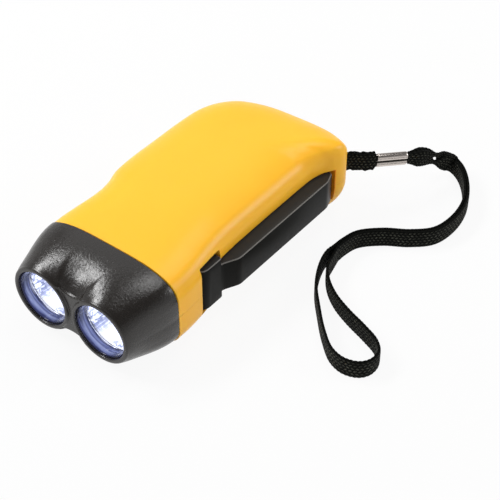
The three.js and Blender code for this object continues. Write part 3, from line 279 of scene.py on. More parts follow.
def finish_piece(made, body, replaces=()):
    """A piece given its body and the CAD nodes that it stands for."""
    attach(made, body)
    if replaces:
        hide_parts(*replaces)


def carve(target, cutter, way="DIFFERENCE"):
    """One closed solid cut by, joined to or kept inside another, which is used up."""
    step = target.modifiers.new("carve", "BOOLEAN")
    step.operation = way
    step.solver = "EXACT"
    step.object = cutter
    done = bpy.data.meshes.new_from_object(
        target.evaluated_get(bpy.context.evaluated_depsgraph_get())
    )
    target.modifiers.clear()
    old = target.data
    target.data = done
    done.name = old.name
    bpy.data.meshes.remove(old)
    bpy.data.objects.remove(cutter)
    if not len(done.polygons):
        raise RuntimeError(f"{target.name} was lost when it was cut")
    return target


def rounded_plan(points, radius, steps=6):
    """A closed outline whose corners are arcs: each corner's arc is a quadratic blend between two
    points set back from it by the radius."""
    p = np.asarray(points, float)
    before, after = np.roll(p, 1, 0) - p, np.roll(p, -1, 0) - p
    long_before, long_after = (np.linalg.norm(v, axis=1, keepdims=True) for v in (before, after))
    back = np.minimum(radius, 0.45 * np.minimum(long_before, long_after))
    start, end = p + before / long_before * back, p + after / long_after * back
    t = np.linspace(0, 1, steps)[None, :, None]
    arc = (1 - t) ** 2 * start[:, None] + 2 * t * (1 - t) * p[:, None] + t**2 * end[:, None]
    return arc.reshape(-1, 2)


def moved_in(outline, inset):
    """A closed outline moved inwards along the mean of the normals of its two neighbouring sides."""
    ahead = np.roll(outline, -1, 0) - outline
    normal = unit(np.stack([-ahead[:, 1], ahead[:, 0]], 1))
    mean = unit(normal + np.roll(normal, 1, 0))
    after = np.roll(outline, -1, 0)
    area = np.sum(outline[:, 0] * after[:, 1] - outline[:, 1] * after[:, 0])
    return outline + mean * inset * np.sign(area)


def slab(name, plan, low, high, corner=0.0, edge=0.0, axis="z", materials=(), **rest):
    """A plan carried between two levels with its corners and edges rounded: near each end the
    outline moves in by the edge radius less its cosine while the level moves by its sine."""
    outline = rounded_plan(plan, corner) if corner else np.asarray(plan, float)
    turn = np.linspace(0, math.pi / 2, 5 if edge else 1)
    insets, levels = edge * (1 - np.cos(turn)), edge * (1 - np.sin(turn))
    rings = [(inset, low + level) for inset, level in zip(insets[::-1], levels[::-1])]
    rings += [(inset, high - level) for inset, level in zip(insets, levels)]
    stack = []
    for inset, level in rings:
        ring = moved_in(outline, inset) if inset else outline
        stack.append(np.column_stack([ring, np.full(len(ring), level)]))
    points = np.concatenate(stack)
    if axis == "x":
        points = points[:, [2, 0, 1]]
    elif axis == "y":
        points = points[:, [0, 2, 1]]
    return piece(name, points, tube_faces(len(stack), len(outline)), materials, **rest)


def box_plan(x_low, x_high, y_low, y_high):
    """The four corners of a rectangle, in order round it."""
    return [(x_low, y_low), (x_high, y_low), (x_high, y_high), (x_low, y_high)]


def box(name, x, y, z, corner=0.0, edge=0.0, axis="z", **rest):
    """A block between pairs of limits, its corners rounded about the chosen axis."""
    spans = {"z": (x, y, z), "x": (y, z, x), "y": (x, z, y)}[axis]
    return slab(name, box_plan(*spans[0], *spans[1]), *spans[2], corner, edge, axis, **rest)


def turned(name, profile, middle, materials, axis="y", sides=72, **rest):
    """A profile of radius and place along an axis, carried round that axis as a circle."""
    profile = np.asarray(profile, float)
    angle = np.linspace(0, 2 * math.pi, sides, endpoint=False)
    radius, along = profile[:, :1], np.repeat(profile[:, 1:], sides, 1)
    across, up = radius * np.cos(angle), radius * np.sin(angle)
    order = (across, along, up) if axis == "y" else (across, up, along)
    points = np.stack(order, -1).reshape(-1, 3) + np.asarray(middle, float)
    faces = grid_faces(len(profile), sides, wrap_columns=True).tolist()
    return piece(name, points, clean_faces(points, faces), materials, **rest)


def level_and_rising(tangent):
    """Two directions of length one, square to a line's own: one level, and one square to both."""
    across = unit(np.cross((0.0, 0.0, 1.0), tangent))
    return across, np.cross(tangent, across)


def clean_faces(points, faces):
    """The faces that still have an area once corners in one place count as one."""
    index = np.unique(np.round(points, 6), axis=0, return_inverse=True)[1].ravel()
    return [face for face in faces if len(set(index[list(face)])) > 2]


# Finishes

MICROMETRE = 1e-6
# What a Map Range node needs to ease in and out, and a Mix node to mix colours.
EASED = {"interpolation_type": "SMOOTHSTEP"}
COLOURS = {"data_type": "RGBA"}
# Scales of noise in cells to the metre. A cell is two blotches wide, so the blotches are 11 mm
# wide in the drift of a plastic's colour, 0.2 mm in yarn, 1.2 mm where a strap has worn in
# patches and in the swirls of a bowl, 1.7 mm in haze, 0.6 mm in the lens skirt's wavering bands
# and 1 mm in the mottled glow of epoxy.
DRIFT, YARN, PATCHES, SWIRLS, HAZE, WAVER, MOTTLE = 45.0, 2600.0, 420.0, 420.0, 300.0, 900.0, 500.0


def linear(colour):
    """An sRGB hex colour as linear red, green, blue and alpha."""
    value = np.array([int(colour[i : i + 2], 16) / 255 for i in (1, 3, 5)])
    value = np.where(value <= 0.04045, value / 12.92, ((value + 0.055) / 1.055) ** 2.4)
    return (*value.tolist(), 1.0)


def add_node(tree, kind, inputs=(), output=None, **settings):
    """Adds a shader node with its settings. Its inputs, in its own order or by name, are linked to
    other nodes' outputs or set to values, of which a string is a hex colour. It gives back the
    output that is named, or else the first one in use."""
    made = tree.nodes.new("ShaderNode" + kind)
    for name, value in settings.items():
        setattr(made, name, value)
    for name, value in (inputs if isinstance(inputs, dict) else dict(enumerate(inputs))).items():
        if isinstance(value, bpy.types.NodeSocket):
            tree.links.new(value, made.inputs[name])
        else:
            made.inputs[name].default_value = linear(value) if isinstance(value, str) else value
    if output:
        return made.outputs[output]
    return next((socket for socket in made.outputs if socket.enabled), None)


def blank(name):
    """An empty material, and the function that adds a node to it."""
    material = bpy.data.materials.new(name)
    material.use_nodes = True
    material.node_tree.nodes.clear()
    return material, partial(add_node, material.node_tree)


def moulded_plastic(
    name, colour, shade, roughness, grain, relief, rounding=0.25, scatter=0.0, specular=0.5,
    polished=None, painted_edge_highlight=None, hollow=None,
):
    """Injection-moulded plastic: a colour that drifts a little, a fine grain and softened edges.
    Grain and rounding are in millimetres and relief in micrometres. The grain starts behind the
    polished place along Y, where one is given. A painted edge highlight is a paler colour painted
    where light catches: full on the upper edges, whose normal stands between level and upright,
    and a sixth on flat tops as a painted sheen.
    A hollow is a painted bounce-light colour with the middle and half size of a box: the walls
    inside that box take the colour as painted light, because light reaches them only after it has
    bounced off their own yellow."""
    material, add = blank(name)
    place = add("TexCoord", output="Object")
    size = 1000 / (2 * grain)
    skin = add("TexNoise", {"Vector": place, "Scale": size, "Detail": 3.0, "Roughness": 0.6})
    edge = add("Bevel", {"Radius": rounding / 1000}, samples=4)
    strength = 1.0
    if polished is not None:
        along = add("SeparateXYZ", (place,), "Y")
        strength = add("MapRange", (along, polished, polished + 0.001), **EASED)
    drift = add("TexNoise", {"Vector": place, "Scale": DRIFT})
    tint = add("Mix", {"Factor": drift, "A": colour, "B": shade}, **COLOURS)
    # Painted bounce light: inside the box the walls take the deep colour, for light bounced off their
    # own yellow.
    if hollow:
        deep, middle, half = hollow
        near = add("VectorMath", (place, middle), operation="SUBTRACT")
        near = add("VectorMath", (near,), operation="ABSOLUTE")
        side = add("VectorMath", (near, half), operation="DIVIDE")
        side = add("SeparateXYZ", (side,)).node.outputs
        most = add("Math", (side["X"], side["Y"]), operation="MAXIMUM")
        most = add("Math", (most, side["Z"]), operation="MAXIMUM")
        painted_bounce_share = add("MapRange", (most, 1.02, 1.0), **EASED)
        tint = add("Mix", {"Factor": painted_bounce_share, "A": tint, "B": deep}, **COLOURS)
    # Painted highlight: the paler colour goes on upward-facing edges where light catches, and a sixth
    # of it on flat tops as painted sheen.
    if painted_edge_highlight:
        upward = add("SeparateXYZ", (edge,), "Z")
        painted_sheen_share = add("MapRange", (upward, 0.85, 0.98, 1.0, 0.16), **EASED)
        upper = add("MapRange", (upward, 0.25, 0.6), **EASED)
        worn = add("Math", (painted_sheen_share, upper), operation="MULTIPLY")
        tint = add("Mix", {"Factor": worn, "A": tint, "B": painted_edge_highlight}, **COLOURS)
    dull = add("MapRange", (skin, 0.3, 0.7, roughness * 0.9, roughness * 1.1), **EASED)
    raised = {"Strength": strength, "Distance": relief * MICROMETRE, "Height": skin, "Normal": edge}
    surface = add("BsdfPrincipled", {
        "Base Color": tint,
        "Roughness": dull,
        "IOR": 1.53,
        "Specular IOR Level": specular,
        "Subsurface Weight": scatter,
        "Subsurface Radius": (0.0012, 0.0005, 0.0001),
        "Subsurface Scale": 1.0,
        "Normal": add("Bump", raised),
    })
    add("OutputMaterial", (surface,))
    return material


def machined_metal(name, colour, roughness, stretch, line=0.12, relief=2.0):
    """Turned, drawn or rolled metal: fine tool lines across one direction. The stretch lengthens
    the noise along it; line is their spacing in millimetres and relief is in micrometres."""
    material, add = blank(name)
    along = add("Mapping", {"Vector": add("TexCoord", output="Object"), "Scale": stretch})
    lines = add("TexNoise", {"Vector": along, "Scale": 1000 / (2 * line)})
    dull = add("MapRange", (lines, 0.0, 1.0, roughness * 0.75, roughness * 1.3), **EASED)
    surface = add("BsdfPrincipled", {
        "Base Color": add("Mix", {"Factor": lines, "A": colour[0], "B": colour[1]}, **COLOURS),
        "Metallic": 1.0,
        "Roughness": dull,
        "Normal": add("Bump", {"Distance": relief * MICROMETRE, "Height": lines}),
    })
    add("OutputMaterial", (surface,))
    return material


def braided_tape(colour, shade, stitch):
    """Flat-braided black polyester: rows of slanted stitches whose slant turns over from row to row.
    A stitch's height is the product of a half sine across its row and one along its slanted run.
    The yarn is deep black and dull, and only the tops of the stitches on the flat faces are paler."""
    material, add = blank("polyester tape, flat-braided")
    parts = add("SeparateXYZ", (add("UVMap", uv_map="along_and_across"),)).node.outputs
    place = add("TexCoord", output="Object")
    row = add("Math", (parts["Y"], 6.0), operation="MULTIPLY")
    in_row = add("Math", (row,), operation="FRACT")
    row = add("Math", (row,), operation="FLOOR")
    parity = add("Math", (row, 1.0), operation="PINGPONG")
    slant = add("Math", (parity, -0.5), operation="ADD")
    lean = add("Math", (in_row, -0.5), operation="ADD")
    lean = add("Math", (slant, lean), operation="MULTIPLY")
    lean = add("Math", (lean, 1.1), operation="MULTIPLY")
    run = add("Math", (parts["X"], stitch), operation="DIVIDE")
    run = add("Math", (run, lean), operation="ADD")
    shift = add("Math", (parity, 0.5), operation="MULTIPLY")
    run = add("Math", (run, shift), operation="ADD")
    run = add("Math", (run,), operation="FRACT")
    turns = [add("Math", (share, math.pi), operation="MULTIPLY") for share in (run, in_row, parts["Y"])]
    hump, width, face = (add("Math", (turn,), operation="SINE") for turn in turns)
    hump, width = (add("Math", (side, 0.6), operation="POWER") for side in (hump, width))
    height = add("Math", (hump, width), operation="MULTIPLY")
    yarn = add("TexNoise", {"Vector": place, "Scale": YARN, "Detail": 3.0})
    yarn = add("Math", (yarn, 0.35), operation="MULTIPLY")
    relief = add("Math", (height, yarn), operation="ADD")
    patches = add("TexNoise", {"Vector": place, "Scale": PATCHES})
    worn = add("MapRange", (patches, 0.35, 0.7, 0.35, 1.0), **EASED)
    tops = add("MapRange", (relief, 0.75, 1.2), **EASED)
    flat = add("MapRange", (face, 0.12, 0.4), **EASED)
    paler = add("Math", (tops, flat), operation="MULTIPLY")
    paler = add("Math", (paler, worn), operation="MULTIPLY")
    surface = add("BsdfPrincipled", {
        "Base Color": add("Mix", {"Factor": paler, "A": shade, "B": colour}, **COLOURS),
        "Roughness": 0.75,
        "Specular IOR Level": 0.06,
        "Sheen Weight": 0.015,
        "Sheen Roughness": 0.5,
        "Normal": add("Bump", {"Distance": 300 * MICROMETRE, "Height": relief}),
    })
    add("OutputMaterial", (surface,))
    return material


def clear_plastic(name, colour, roughness):
    """Polished clear plastic: light passes with a faint tint, and its face mirrors the surroundings."""
    material, add = blank(name)
    haze = add("TexNoise", {"Vector": add("TexCoord", output="Object"), "Scale": HAZE})
    surface = add("BsdfPrincipled", {
        "Base Color": colour,
        "Roughness": add("MapRange", (haze, 0.0, 1.0, roughness * 0.5, roughness * 1.5), **EASED),
        "IOR": 1.49,
        "Transmission Weight": 1.0,
    })
    add("OutputMaterial", (surface,))
    return material


def from_lamp_axis(add):
    """Where a point lies from the middle of its own lamp, seen along the beam: its direction as a
    vector of length one, and its distance as a share of the reflector's mouth."""
    parts = add("SeparateXYZ", (add("TexCoord", output="Object"),)).node.outputs
    apart = LAMP_X / 1000
    across = add("Math", (parts["X"], apart - LAMP_MIDDLE[0]), operation="ADD")
    across = add("Math", (across, apart, -apart), operation="WRAP")
    up = add("Math", (parts["Z"], LAMP_MIDDLE[2]), operation="SUBTRACT")
    flat = add("CombineXYZ", {"X": across, "Z": up})
    way = add("VectorMath", (flat,), operation="NORMALIZE")
    far = add("VectorMath", (flat,), operation="LENGTH")
    return way, add("Math", (far, MOUTH / 1000), operation="DIVIDE")


def lit_bowl(glow):
    """Plastic bowl, vacuum-metallised, full of the lamp's light: white in the middle, with bluish
    streaks of its flutes where the light thins out above and faint rings below."""
    material, add = blank("plastic, vacuum-metallised, lit")
    place = add("TexCoord", output="Object")
    way, far = from_lamp_axis(add)
    upper_left = add("VectorMath", (way, (-0.6, 0.0, 0.8)), operation="DOT_PRODUCT")
    away = add("Math", (upper_left, far), operation="MULTIPLY")
    shape = {"Scale": 9.0, "Detail": 6.0, "Roughness": 0.75, "Distortion": 0.6}
    flutes = add("TexNoise", {"Vector": way, **shape})
    flutes = add("MapRange", (flutes, 0.4, 0.62), **EASED)
    swirl = add("TexNoise", {"Vector": place, "Scale": SWIRLS, "Detail": 5.0, "Distortion": 1.5})
    streaks = add("Math", (flutes, 0.25), operation="MULTIPLY")
    streaks = add("Math", (streaks, swirl), operation="ADD")
    streaks = add("MapRange", (streaks, 0.42, 0.74), **EASED)
    above = add("MapRange", (away, -0.6, 0.1), **EASED)
    veil = add("Math", (above, streaks), operation="MULTIPLY")
    wave = add("Math", (far, 42.0), operation="MULTIPLY")
    waver = add("Math", (swirl, 9.0), operation="MULTIPLY")
    wave = add("Math", (wave, waver), operation="ADD")
    wave = add("Math", (wave,), operation="SINE")
    wave = add("MapRange", (wave, 0.2, 1.0), **EASED)
    below = add("MapRange", (away, -0.6, -0.85), **EASED)
    rings = add("Math", (below, wave), operation="MULTIPLY")
    veil = add("Math", (veil, 0.8), operation="MULTIPLY")
    rings = add("Math", (rings, 0.6), operation="MULTIPLY")
    dim = add("Math", (veil, rings), operation="ADD")
    surface = add("BsdfPrincipled", {
        "Base Color": add("Mix", {"Factor": dim, "A": "#c9d0e8", "B": "#3d4570"}, **COLOURS),
        "Metallic": 0.6,
        "Roughness": 0.25,
        "Emission Color": add("Mix", {"Factor": dim, "A": "#f6f8ff", "B": "#8e9bcf"}, **COLOURS),
        "Emission Strength": add("MapRange", (dim, 0.0, 1.0, glow, glow * 0.25), **EASED),
    })
    add("OutputMaterial", (surface,))
    return material


def lit_skirt(glow):
    """Acrylic skirt of the lens, polished: it carries the lamp's light as lavender and navy bands
    that follow its edge."""
    material, add = blank("acrylic skirt, polished")
    place = add("TexCoord", output="Object")
    streak = add("Mapping", {"Vector": place, "Scale": (0.16, 1.0, 0.16)})
    waver = add("TexNoise", {"Vector": streak, "Scale": WAVER, "Detail": 3.0})
    front, depth = LAMP_MIDDLE[1] + LENS_SKIRT[1][1] / 1000, 0.0037
    share = add("Math", (add("SeparateXYZ", (place,), "Y"), -front), operation="ADD")
    share = add("Math", (share, depth), operation="DIVIDE")
    shift = add("Math", (waver, -0.5), operation="ADD")
    shift = add("Math", (shift, 0.5), operation="MULTIPLY")
    share = add("Math", (share, shift), operation="ADD")
    bands = add("ValToRGB", (share,))
    stops = bands.node.color_ramp.elements
    stops[0].position, stops[0].color = 0.0, linear("#343757")
    stops[1].position, stops[1].color = 1.0, linear("#d8defa")
    for at, colour in (
        (0.16, "#3b4170"), (0.3, "#8792c8"), (0.42, "#a9b5e6"),
        (0.56, "#565f95"), (0.7, "#8b97cf"), (0.86, "#2a2e52"),
    ):
        stops.new(at).color = linear(colour)
    way = from_lamp_axis(add)[0]
    under = add("VectorMath", (way, (-0.52, 0.0, -0.85)), operation="DOT_PRODUCT")
    lively = add("Math", (under, waver), operation="ADD")
    surface = add("BsdfPrincipled", {
        "Base Color": add("Mix", {"Factor": share, "A": "#12152a", "B": "#2c3258"}, **COLOURS),
        "Roughness": 0.12,
        "Specular IOR Level": 0.3,
        "Emission Color": bands,
        "Emission Strength": add("MapRange", (lively, 0.8, 1.5, glow * 0.12, glow * 1.25), **EASED),
    })
    add("OutputMaterial", (surface,))
    return material


def lit_epoxy(glow):
    """Epoxy, cast clear round the chip: it glows a cold white, evenly."""
    material, add = blank("epoxy, cast clear, lit")
    mottle = add("TexNoise", {"Vector": add("TexCoord", output="Object"), "Scale": MOTTLE})
    surface = add("BsdfPrincipled", {
        "Base Color": "#ffffff",
        "Roughness": 0.1,
        "Emission Color": "#fbfcff",
        "Emission Strength": add("MapRange", (mottle, 0.3, 0.7, glow * 0.9, glow), **EASED),
    })
    add("OutputMaterial", (surface,))
    return material


# Settings


def length_setting(name, description, default, **rest):
    """A setting that is a length in metres."""
    return FloatProperty(name=name, description=description, default=default, unit="LENGTH", **rest)


def number_setting(name, description, default, **rest):
    """A setting that is a plain number, never below nought."""
    return FloatProperty(name=name, description=description, default=default, min=0, **rest)


def angle_setting(name, description, degrees):
    """A setting that is an angle, given here in degrees."""
    return FloatProperty(
        name=name, description=description, default=math.radians(degrees), subtype="ANGLE"
    )


def colour_setting(name, description, colour):
    """A setting that is a colour, given here as an sRGB hex value."""
    return FloatVectorProperty(
        name=name, description=description, default=linear(colour), size=4, subtype="COLOR",
        min=0, max=1,
    )


class CaseSettings(bpy.types.PropertyGroup):
    colour: colour_setting("Colour", "Colour of the two case halves", "#ffbe30")
    wall: length_setting("Wall", "Thickness of the case wall", 0.002, min=0.001)
    crown: length_setting("Crown", "How far the middle stands above the round edge", 0.0018)
    plain_edge: length_setting("Plain edge", "Edge radius on the plain side", 0.0085)
    lever_edge: length_setting("Lever edge", "Edge radius on the lever side", 0.0065)
    lower_edge: length_setting("Lower edge", "Edge radius under the grip", 0.011)
    lower_plain_edge: length_setting("Lower plain edge", "Edge radius under the plain side", 0.006)
    scatter: number_setting("Scatter", "Share of the light that spreads in the plastic", 0.15, max=1)


class HeadSettings(bpy.types.PropertyGroup):
    colour: colour_setting("Colour", "Colour of the lamp head", "#221e1b")
    rim: length_setting("Rim radius", "Outer radius round each lamp", 0.0111)
    opening: length_setting("Opening radius", "Radius of each lamp opening", 0.009)
    valley: length_setting("Valley", "Half height between the lamps", 0.008)
    web_setback: length_setting("Web setback", "How far the web lies behind the rims", 0.0008)


class LampSettings(bpy.types.PropertyGroup):
    glow: number_setting("Glow", "Brightness of the lit lamps", 1.25)
    skirt_glow: number_setting("Skirt glow", "Light that the lens skirts carry", 0.6)


class LeverSettings(bpy.types.PropertyGroup):
    colour: colour_setting("Colour", "Colour of the squeeze lever", "#181816")
    edge: length_setting("Edge", "Rounding of the lever's edges", 0.00045)


class StrapSettings(bpy.types.PropertyGroup):
    colour: colour_setting("Colour", "Colour of the tops of the strap's stitches", "#55564d")
    width: length_setting("Width", "Width of the tape", 0.0065)
    thickness: length_setting("Thickness", "Thickness of one layer", 0.001)
    stitch: length_setting("Stitch", "Length of one stitch of the braid", 0.0013)


class StageSettings(bpy.types.PropertyGroup):
    azimuth: angle_setting("Azimuth", "Camera's turn from the front", 37.8)
    elevation: angle_setting("Elevation", "Camera's height angle", 42.1)
    distance: length_setting("Distance", "Camera to the point looked at", 0.4)
    key: number_setting("Key", "Power of the main lamp", 1.0)
    ceiling: number_setting("Ceiling", "Brightness overhead", 0.13)


# Pieces


class TORCH_OT_stage(bpy.types.Operator):
    """Camera at the photograph's angle, floor, backdrop and soft lamps."""

    bl_idname = "torch.stage"
    bl_label = "Stage"

    def execute(self, context):
        stage = context.scene.torch_stage
        target = Vector(placed((23.0, 52.6, 0.0)))
        az, el = stage.azimuth, stage.elevation
        back = Vector((math.cos(el) * math.sin(az), -math.cos(el) * math.cos(az), math.sin(el)))
        self.camera(context, target, back, stage.distance)
        self.floor(context)
        self.world(context, stage.ceiling)
        self.lamps(target, stage.key)
        return {"FINISHED"}

    def camera(self, context, target, back, distance):
        """A camera on the line from the target along back, upright, with a 98 mm lens."""
        camera = bpy.data.objects.new("camera", bpy.data.cameras.new("camera"))
        camera.data.sensor_width = 36
        camera.data.lens = 98.0
        camera.data.clip_start = 0.01
        camera.data.clip_end = 50
        right = Vector((0, 0, 1)).cross(back).normalized()
        up = back.cross(right)
        turn = Matrix((right, up, back)).transposed().to_4x4()
        camera.matrix_world = Matrix.Translation(target + back * distance) @ turn
        context.scene.collection.objects.link(camera)
        context.scene.camera = camera

    def floor(self, context):
        """Painted board, white: to the camera, to mirrors and through glass it is pure white but for
        a share of the light it gets, so that the torch's soft shadow stays."""
        material, add = blank("painted board, matt white")
        paint = add("BsdfDiffuse", {"Color": "#e6e6e6", "Roughness": 0.5})
        plain = add("Emission", {"Color": "#ffffff", "Strength": 1.0})
        path = add("LightPath").node.outputs
        seen = add("Math", (path["Is Camera Ray"], path["Is Glossy Ray"]), operation="MAXIMUM")
        seen = add("Math", (seen, path["Is Transmission Ray"]), operation="MAXIMUM")
        seen = add("Math", (seen, 0.92), operation="MULTIPLY")
        add("OutputMaterial", (add("MixShader", (seen, paint, plain)),))
        mesh = bpy.data.meshes.new("floor")
        low, reach = CAD_BOX[0][2] - 0.0001, 3.0
        corners = [(x, y, low) for x, y in box_plan(-reach, reach, -reach, reach)]
        mesh.from_pydata(corners, [], [(0, 1, 2, 3)])
        mesh.materials.append(material)
        board = bpy.data.objects.new("floor", mesh)
        context.scene.collection.objects.link(board)

    def world(self, context, ceiling):
        """A pale wall all round that turns into a dimmer ceiling overhead."""
        world = bpy.data.worlds.new("pale wall and dim ceiling")
        context.scene.world = world
        world.use_nodes = True
        world.node_tree.nodes.clear()
        add = partial(add_node, world.node_tree)
        upward = add("SeparateXYZ", (add("TexCoord", output="Generated"),), "Z")
        strength = add("MapRange", (upward, 0.1, 0.6, 0.7, ceiling), **EASED)
        add("OutputWorld", (add("Background", {"Color": "#ffffff", "Strength": strength}),))

    def lamps(self, target, power):
        """Square softboxes at one distance from the target, each facing it."""
        for name, way, side, share in SOFTBOXES:
            lamp = bpy.data.lights.new(name, "AREA")
            lamp.shape = "SQUARE"
            lamp.size = side
            lamp.energy = power * share
            holder = bpy.data.objects.new(name, lamp)
            away = Vector(way).normalized()
            holder.location = target + away * SOFTBOX_AWAY
            holder.rotation_euler = away.to_track_quat("Z", "Y").to_euler()
            bpy.context.scene.collection.objects.link(holder)


class TORCH_OT_strap(bpy.types.Operator):
    """The wrist strap: two layers of braided tape through a metal crimp, and an open loop."""

    bl_idname = "torch.strap"
    bl_label = "Wrist strap"

    def execute(self, context):
        strap = context.scene.torch_strap
        tape = braided_tape(strap.colour, "#040503", strap.stitch * 1000)
        stem, at = even_line(STRAP_STEM, LINE_STEP)
        parts = self.layers(strap, stem, at)
        body = self.build("strap_stem_tape", parts, tape, ("strap_root", "strap_stem"))
        crimp = self.crimp()
        loop, at = even_line(STRAP_LOOP, LINE_STEP)
        width = strap.width * 500 - SCALLOP / 2 + SCALLOP * self.stitches(strap, at)
        zero = np.zeros(len(at))
        part = self.tape(loop, at, width, zero + strap.thickness * 500, zero, zero)
        ring = self.build("strap_loop_tape", [part], tape, ("strap_loop",))
        return {"FINISHED"}

    def stitches(self, strap, at):
        """The edge's scallops, one to a stitch, from 0 to 1: the size of a sine of the length."""
        return np.abs(np.sin(math.pi * at / (strap.stitch * 1000)))

    def layers(self, strap, stem, at):
        """The stem's two layers side by side. Bell curves of the length make the pinched neck and
        the bulges on either side of it. Smooth steps narrow the tape inside the crimp, gather it
        behind the crimp and part the layers at the loop. Before the crimp its edge ripples."""
        half, thick = strap.width * 500, strap.thickness * 500
        crimp_start, crimp_end = (
            at[np.argmin(np.linalg.norm(stem - end, axis=1))] for end in CRIMP_ENDS
        )
        neck = crimp_end + NECK_BEHIND_CRIMP
        near_neck = bell(at, neck, 3.0)
        bulge = bell(at, crimp_end + 5.0, 3.2) + 0.7 * bell(at, neck + 4.5, 3.0)
        gathered = smoothstep(at, crimp_end + 1, crimp_end + 3) - smoothstep(at, neck + 9, neck + 16)
        parting = smoothstep(at, at[-1] - 6, at[-1])
        scallop = 0.05 + 0.07 * (1 - smoothstep(at, neck + 8, neck + 16))
        inside = smoothstep(at, crimp_start - 0.8, crimp_start)
        inside -= smoothstep(at, crimp_end, crimp_end + 0.8)
        slack = 1 - smoothstep(at, crimp_start - 2.0, crimp_start)
        leaf = 0.4 * smoothstep(at, crimp_end - 1, crimp_end)
        leaf *= 1 - smoothstep(at, crimp_end, crimp_end + 5)
        width = half * (1 - leaf - 0.71 * near_neck - 0.42 * inside - 0.06 * gathered)
        width += scallop * self.stitches(strap, at) - SCALLOP / 2
        depth = thick * (1 + 0.5 * bulge * gathered - 0.1 * near_neck)
        apart = thick * 1.03 * (1 + 0.6 * bulge * gathered - 0.5 * near_neck) + 0.1 * parting
        parts = []
        for side in (-1, 1):
            ripple = 0.14 * np.sin(at * 1.9 + side) + 0.1 * np.sin(at * 3.1 + 2 * side)
            above = side * 1.2 * near_neck
            parts.append(self.tape(stem, at, width + ripple * slack, depth, side * apart, above))
        return parts

    def tape(self, line, at, width, depth, aside, above):
        """A flat band on its edge along a line: its section is a superellipse of half width and half
        depth, whose cosine and sine are raised to low powers, moved aside and above."""
        across, rise = level_and_rising(unit(np.gradient(line, axis=0)))
        angle = np.linspace(0, 2 * math.pi, 28, endpoint=False)
        tall = np.sign(np.cos(angle)) * np.abs(np.cos(angle)) ** 0.45
        thick = np.sign(np.sin(angle)) * np.abs(np.sin(angle)) ** 0.6
        centre = line + across * aside[:, None] + rise * above[:, None]
        points = (
            centre[:, None]
            + rise[:, None] * (width[:, None] * tall)[..., None]
            + across[:, None] * (depth[:, None] * thick)[..., None]
        )
        along, over = np.meshgrid(at, tall / 2 + 0.5, indexing="ij")
        return points, np.stack([along, over], -1)

    def build(self, name, parts, material, nodes):
        """One piece from bands of tape, each a stack of closed rings with its own map."""
        points, faces, uv, start = [], [], [], 0
        for rings, part_uv in parts:
            rows, columns = rings.shape[:2]
            points.append(rings.reshape(-1, 3))
            uv.append(part_uv.reshape(-1, 2))
            faces += tube_faces(rows, columns, start)
            start += rows * columns
        return piece(
            name, np.concatenate(points), faces, [material], "housing", "strap_black", nodes,
            sharp=50, weld=False, uv=np.concatenate(uv),
        )

    def crimp(self):
        """Nickel-plated brass strip rolled into two tubes side by side. Its section is two circles
        that run into each other, and the ends are turned in a little."""
        start, end = (np.array(p) for p in CRIMP_ENDS)
        across, rise = level_and_rising(unit(end - start))
        radius, apart = 1.28, 1.08
        pinch = math.asin(apart / radius)
        lobe = np.linspace(-pinch, math.pi + pinch, 24)
        upper = np.stack([radius * np.cos(lobe), apart + radius * np.sin(lobe)], 1)
        section = np.vstack([upper, -upper])
        shares = (
            (0, 0.84), (0.0, 0.93), (0.02, 0.99), (0.05, 1.0),
            (0.95, 1.0), (0.98, 0.99), (1, 0.93), (1, 0.84),
        )
        flat = section[:, :1] * across + section[:, 1:] * rise
        rings = [start + (end - start) * along + flat * size for along, size in shares]
        # Brass strip, rolled and nickel-plated: bright and smooth, with long mirrored bands.
        metal = machined_metal(
            "brass strip, nickel-plated", ("#ded7d1", "#b5aaa2"), 0.22, (1, 1, 1), relief=0.3
        )
        return piece(
            "strap_crimp_sleeve", np.concatenate(rings), tube_faces(len(rings), len(section)), [metal],
            "housing", "crimp_metal", ("strap_crimp",),
        )


